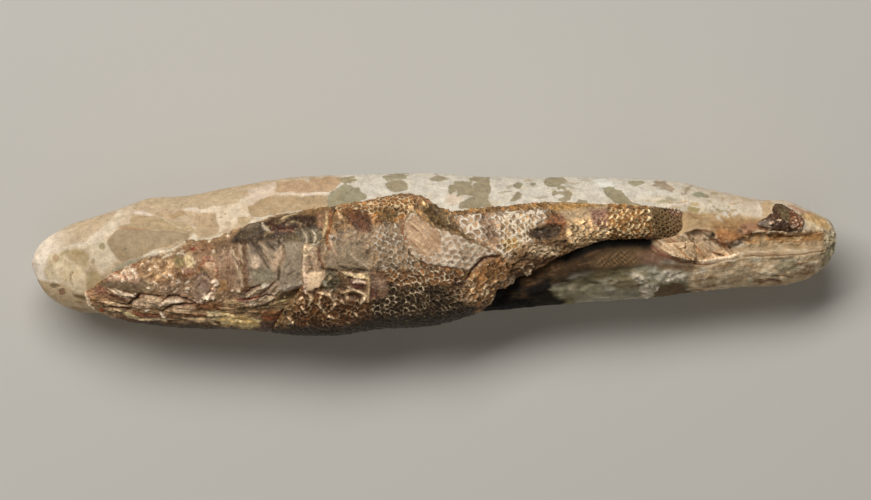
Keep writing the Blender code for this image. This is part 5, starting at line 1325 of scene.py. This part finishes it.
def tail_chip():
    levels = np.sin(np.linspace(-1.56, 1.56, CHIP_RINGS))
    skin = Skin(chip_surface, levels, CHIP_AROUND, 0, None, ragged=0.1)
    area, veins = skin.area, skin.veins
    skin.coat("#4c3524")
    area("71.6,9.9 73.4,10.1 74.3,8.5 73.9,6.8 72.2,7", 0.4, "#6a5c42")
    area("73.7,9.5 75.7,8.7 77.4,7 77.2,5.3 74.5,5.1 73.9,7.2", 0.4, "#785038")
    veins("69.1,7.2 74.5,7.6 77.2,8.1 77.4,5.1 69.3,4.9", (0.8, 0.6), 0.25, "#dabea8", 0, 97)
    area("67,6.8 69.5,7.4 69.9,5.5 67.4,5.8", 0.3, "#7c6e64")
    skin.beads("68.6,5.8 71.4,6.2 74.5,5.8 76.8,6", 34, 0.3, 100, 0.7, colour="#d8bca8", height=0.1)
    skin.beads("73.7,9.3 75.3,8.1 76.6,6.8", 8, 0.26, 104, 0.4, colour="#b4927c", height=0.08)
    skin.weather(1.6, 0.2, 0.3, 95)
    skin.crumble(0.8, 0.16, 0.3, 96)
    return skin


# ---------------------------------------------------------------- materials


class Nodes:
    """Short ways to build a material's nodes; each gives its output, to be put into another's input."""

    def __init__(self, name):
        self.material = bpy.data.materials.new(name)
        self.material.use_nodes = True
        self.tree = self.material.node_tree
        self.shader = self.tree.nodes["Principled BSDF"]

    def new(self, kind):
        return self.tree.nodes.new("ShaderNode" + kind)

    def put(self, socket, value):
        """Link a socket to another node's output, or give it a constant."""
        if isinstance(value, bpy.types.NodeSocket):
            self.tree.links.new(value, socket)
        elif value is not None:
            socket.default_value = value

    def attribute(self, name, output="Fac"):
        node = self.new("Attribute")
        node.attribute_name = name
        return node.outputs[output]

    def sum(self, operation, a, b=None, c=None):
        """Arithmetic on numbers."""
        node = self.new("Math")
        node.operation = operation
        for socket, value in zip(node.inputs, (a, b, c)):
            self.put(socket, value)
        return node.outputs[0]

    def vector(self, operation, a, b=None):
        node = self.new("VectorMath")
        node.operation = operation
        self.put(node.inputs[0], a)
        self.put(node.inputs[1], b)
        return node.outputs["Value" if operation in ("LENGTH", "DOT_PRODUCT") else "Vector"]

    def blend(self, share, a, b):
        node = self.new("Mix")
        node.data_type = "RGBA"
        self.put(node.inputs["Factor"], share)
        self.put(node.inputs[6], a)
        self.put(node.inputs[7], b)
        return node.outputs[2]

    def ramp(self, value, low, high, to_low=0.0, to_high=1.0):
        """A smooth rise from one number to another as the value goes from low to high."""
        node = self.new("MapRange")
        node.interpolation_type = "SMOOTHSTEP"
        for socket, setting in zip(node.inputs, (value, low, high, to_low, to_high)):
            self.put(socket, setting)
        return node.outputs[0]

    def noise(self, size, detail=3.0, stretch=None):
        """Noise from 0 to 1 with lumps of the given size in millimetres."""
        place = self.new("TexCoord").outputs["Object"]
        if stretch:
            place = self.vector("MULTIPLY", place, stretch)
        node = self.new("TexNoise")
        self.put(node.inputs["Vector"], place)
        node.inputs["Scale"].default_value = 1 / (size * MM)
        node.inputs["Detail"].default_value = detail
        return node.outputs["Fac"]

    def crumbs(self, size, warp=0.5):
        """A random number from 0 to 1 for each of many small ragged grains of the given size."""
        place = self.new("TexCoord").outputs["Object"]
        drift = self.new("TexNoise")
        self.put(drift.inputs["Vector"], place)
        drift.inputs["Scale"].default_value = 1 / (size * MM)
        offset = self.vector("SUBTRACT", drift.outputs["Color"], (0.5, 0.5, 0.5))
        place = self.vector("ADD", place, self.vector("MULTIPLY", offset, (4 * warp * size * MM,) * 3))
        node = self.new("TexVoronoi")
        self.put(node.inputs["Vector"], place)
        node.inputs["Scale"].default_value = 1 / (size * MM)
        parts = self.new("SeparateColor")
        self.put(parts.inputs[0], node.outputs["Color"])
        return parts.outputs[0]

    def shade(self, colour, amount):
        """A colour made lighter or darker by a factor."""
        return self.vector("MULTIPLY", colour, self.spread(amount))

    def spread(self, value):
        node = self.new("CombineXYZ")
        for socket in node.inputs:
            self.put(socket, value)
        return node.outputs[0]

    def bump(self, height, distance, under=None):
        node = self.new("Bump")
        node.inputs["Distance"].default_value = distance * MM
        self.put(node.inputs["Height"], height)
        if under:
            self.put(node.inputs["Normal"], under)
        return node.outputs[0]

    def net_edge(self):
        """How far in from its cell's edge a point of the lattice is, in the cells' own units."""
        axes = self.new("SeparateXYZ")
        self.put(axes.inputs[0], self.attribute("lattice", "Vector"))
        u, v, ratio = axes.outputs
        corners = []
        for shift in (0.5, 0.0):
            du, dv = (self.sum("SUBTRACT", self.sum("FRACT", self.sum("ADD", w, shift)), 0.5) for w in (u, v))
            du = self.sum("MULTIPLY", self.sum("ABSOLUTE", du), ratio)
            dv = self.sum("ABSOLUTE", dv)
            squares = self.sum("ADD", self.sum("MULTIPLY", du, du), self.sum("MULTIPLY", dv, dv))
            corners.append((du, dv, self.sum("SQRT", squares)))
        (du1, dv1, away1), (du2, dv2, away2) = corners
        second = self.sum("GREATER_THAN", away1, away2)
        qx = self.sum("ADD", du1, self.sum("MULTIPLY", second, self.sum("SUBTRACT", du2, du1)))
        qy = self.sum("ADD", dv1, self.sum("MULTIPLY", second, self.sum("SUBTRACT", dv2, dv1)))
        square = self.sum("MULTIPLY_ADD", ratio, ratio, 1.0)
        reach = self.sum("MULTIPLY", self.sum("SQRT", square), 0.5)
        lean = self.sum("DIVIDE", self.sum("MULTIPLY_ADD", qx, ratio, qy), self.sum("MULTIPLY", reach, 2.0))
        slant = self.sum("SUBTRACT", self.sum("MULTIPLY", reach, 0.5), lean)
        flat = self.sum("SUBTRACT", 0.5, qy)
        end = self.sum("SUBTRACT", self.sum("MULTIPLY", ratio, 0.5), qx)
        return self.sum("MINIMUM", self.sum("MINIMUM", flat, end), slant)


def stone_material():
    """Matt limestone: a pale crust with crisp darker blotches, fine grain, scratches and specks."""
    n = Nodes("limestone")
    ragged = n.sum("MULTIPLY_ADD", n.noise(1.6, 5), 1.3, -0.65)
    depth = n.sum("ADD", n.attribute("blotch"), ragged)
    blotched = n.ramp(depth, -0.1, 0.12)
    colour = n.blend(blotched, n.attribute("tint", "Color"), n.attribute("blotch_tint", "Color"))
    colour = n.shade(colour, n.ramp(n.noise(5.0, 4), 0.25, 0.75, 0.94, 1.05))
    colour = n.shade(colour, n.ramp(n.noise(1.5, 5), 0.25, 0.75, 0.84, 1.14))
    colour = n.shade(colour, n.ramp(n.noise(0.4, 3), 0.25, 0.75, 0.88, 1.1))
    warm = n.ramp(n.noise(3.0, 4, (1, 1, 1.2)), 0.5, 0.74, 0.0, 0.5)
    colour = n.blend(warm, colour, n.vector("MULTIPLY", colour, (0.9, 0.81, 0.67)))
    scratch = n.ramp(n.noise(0.8, 4, (0.22, 1, 1)), 0.58, 0.68)
    colour = n.shade(colour, n.sum("MULTIPLY_ADD", scratch, 0.1, 1.0))
    specks = n.ramp(n.noise(0.7, 2, (0.8, 1, 1.1)), 0.66, 0.74)
    colour = n.shade(colour, n.sum("MULTIPLY_ADD", specks, -0.25, 1.0))
    n.put(n.shader.inputs["Base Color"], colour)
    n.put(n.shader.inputs["Roughness"], n.ramp(n.noise(0.9, 3), 0.3, 0.7, 0.7, 0.9))
    n.shader.inputs["Specular IOR Level"].default_value = 0.2
    grain = n.sum("MULTIPLY_ADD", n.noise(0.35, 4), 0.5, n.noise(1.5, 5))
    low = n.bump(n.sum("MULTIPLY", blotched, -1.0), 0.06)
    pitted = n.bump(n.sum("MULTIPLY", specks, -1.0), 0.06, low)
    n.put(n.shader.inputs["Normal"], n.bump(grain, 0.2, pitted))
    return n.material


def scale_material():
    """Fossil scales: each cell has its own brown, in a broken net of pale stone, with a slight gloss."""
    n = Nodes("fossil_scales")
    net = n.attribute("net")
    frayed = n.sum("ADD", n.net_edge(), n.sum("MULTIPLY_ADD", n.noise(0.6, 3), 0.34, -0.17))
    thick = n.sum("MULTIPLY", n.sum("MAXIMUM", n.sum("SUBTRACT", net, 0.8), 0.0), 0.16)
    kept = n.sum("MAXIMUM", n.ramp(n.noise(0.9, 3), 0.37, 0.6, 0.14, 1.0), n.sum("MULTIPLY", thick, 5.0))
    netted = n.ramp(n.sum("SUBTRACT", frayed, thick), 0.0, 0.18, 1.0, 0.0)
    netted = n.sum("MULTIPLY", netted, n.sum("MULTIPLY", net, kept))
    netted = n.sum("MINIMUM", netted, 1.0)
    cell = n.shade(n.attribute("tint", "Color"), n.ramp(n.noise(1.3, 3), 0.25, 0.75, 0.84, 1.25))
    cell = n.shade(cell, n.ramp(n.crumbs(0.42), 0.0, 1.0, 0.72, 1.5))
    cell = n.blend(n.sum("MULTIPLY", n.attribute("calm"), 0.75), cell, n.attribute("tint", "Color"))
    cell = n.vector("MULTIPLY", cell, (1.05, 0.98, 0.88))
    colour = n.blend(netted, cell, n.attribute("net_tint", "Color"))
    colour = n.shade(colour, n.ramp(n.noise(0.22, 3), 0.3, 0.7, 0.88, 1.14))
    colour = n.shade(colour, n.ramp(n.noise(0.9, 3), 0.25, 0.75, 0.86, 1.12))
    pale = n.ramp(n.noise(0.5, 3), 0.62, 0.70)
    colour = n.blend(n.sum("MULTIPLY", pale, 0.4), colour, (*linear("#dec6a2"), 1))
    dark = n.ramp(n.noise(0.8, 3, (1, 1, 1.3)), 0.6, 0.7)
    colour = n.shade(colour, n.sum("MULTIPLY_ADD", dark, -0.4, 1.0))
    n.put(n.shader.inputs["Base Color"], colour)
    rough = n.sum("ADD", 0.5, n.ramp(n.noise(0.6, 3), 0.3, 0.7, -0.14, 0.14))
    n.put(n.shader.inputs["Roughness"], rough)
    n.shader.inputs["Specular IOR Level"].default_value = 0.28
    grain = n.sum("MULTIPLY_ADD", n.noise(0.25, 4), 0.6, n.noise(0.9, 4))
    raised = n.bump(netted, 0.08)
    n.put(n.shader.inputs["Normal"], n.bump(grain, 0.18, raised))
    return n.material


# ---------------------------------------------------------------- the pieces


def make_pieces():
    stone_look, scale_look = stone_material(), scale_material()
    stone().finished("stone", stone_look, "stone", ["matrix"])
    fish_head().finished("fish_head", scale_look, "scales", ["fish"])
    fish_trunk().finished("fish_trunk", scale_look, "scales", ["fish"])
    fin_rays().finished("fin_rays", scale_look, "fin_rays", ["tail_fin"])
    tail_chip().finished("tail_chip", scale_look, "bone", ["tail_fragment"])


# ---------------------------------------------------------------- floor, camera and lights

VIEW_CENTRE = Vector((0.37, 0.94, 13.0)) * MM  # what the middle of the picture looks at
VIEW_WIDTH = 182.1 * MM  # how much of the plane through it the picture spans
LENS, SENSOR = 190, 36
FLOOR_WIDTH = 3.0


def floor():
    mesh = bpy.data.meshes.new("floor")
    half = FLOOR_WIDTH / 2
    corners = [(-half, -half, 0), (half, -half, 0), (half, half, 0), (-half, half, 0)]
    mesh.from_pydata(corners, [], [(0, 1, 2, 3)])
    made = bpy.data.objects.new("floor", mesh)
    bpy.context.scene.collection.objects.link(made)
    n = Nodes("pale_floor")
    n.shader.inputs["Base Color"].default_value = (0.6, 0.58, 0.54, 1)
    n.shader.inputs["Roughness"].default_value = 0.9
    mesh.materials.append(n.material)


def camera():
    data = bpy.data.cameras.new("camera")
    data.lens, data.sensor_width = LENS, SENSOR
    data.clip_end = 10
    made = bpy.data.objects.new("camera", data)
    bpy.context.scene.collection.objects.link(made)
    made.location = VIEW_CENTRE + Vector((0, 0, VIEW_WIDTH * LENS / SENSOR))
    bpy.context.scene.camera = made


def lamp(name, place, size, power, colour):
    """A soft light of the given width and height that faces the object."""
    data = bpy.data.lights.new(name, "AREA")
    data.shape = "RECTANGLE"
    data.size, data.size_y = size
    data.energy, data.color = power, colour
    made = bpy.data.objects.new(name, data)
    bpy.context.scene.collection.objects.link(made)
    made.location = place
    made.rotation_euler = (VIEW_CENTRE - Vector(place)).to_track_quat("-Z", "Y").to_euler()


def studio():
    """A soft key from beyond the fish's back and a little to the snout's side, with a weak fill."""
    lamp("key", (-0.25, 0.49, 0.83), (0.9, 0.35), 9.0, (1.0, 0.98, 0.95))
    lamp("fill", (0.1, -0.5, 0.9), (0.8, 0.8), 0.9, (1.0, 0.95, 0.87))
    world = bpy.data.worlds.new("studio")
    world.use_nodes = True
    world.node_tree.nodes["Background"].inputs["Color"].default_value = (1, 0.95, 0.87, 1)
    world.node_tree.nodes["Background"].inputs["Strength"].default_value = 0.08
    bpy.context.scene.world = world
    bpy.context.scene.view_settings.view_transform = "Standard"


make_pieces()
floor()
camera()
studio()
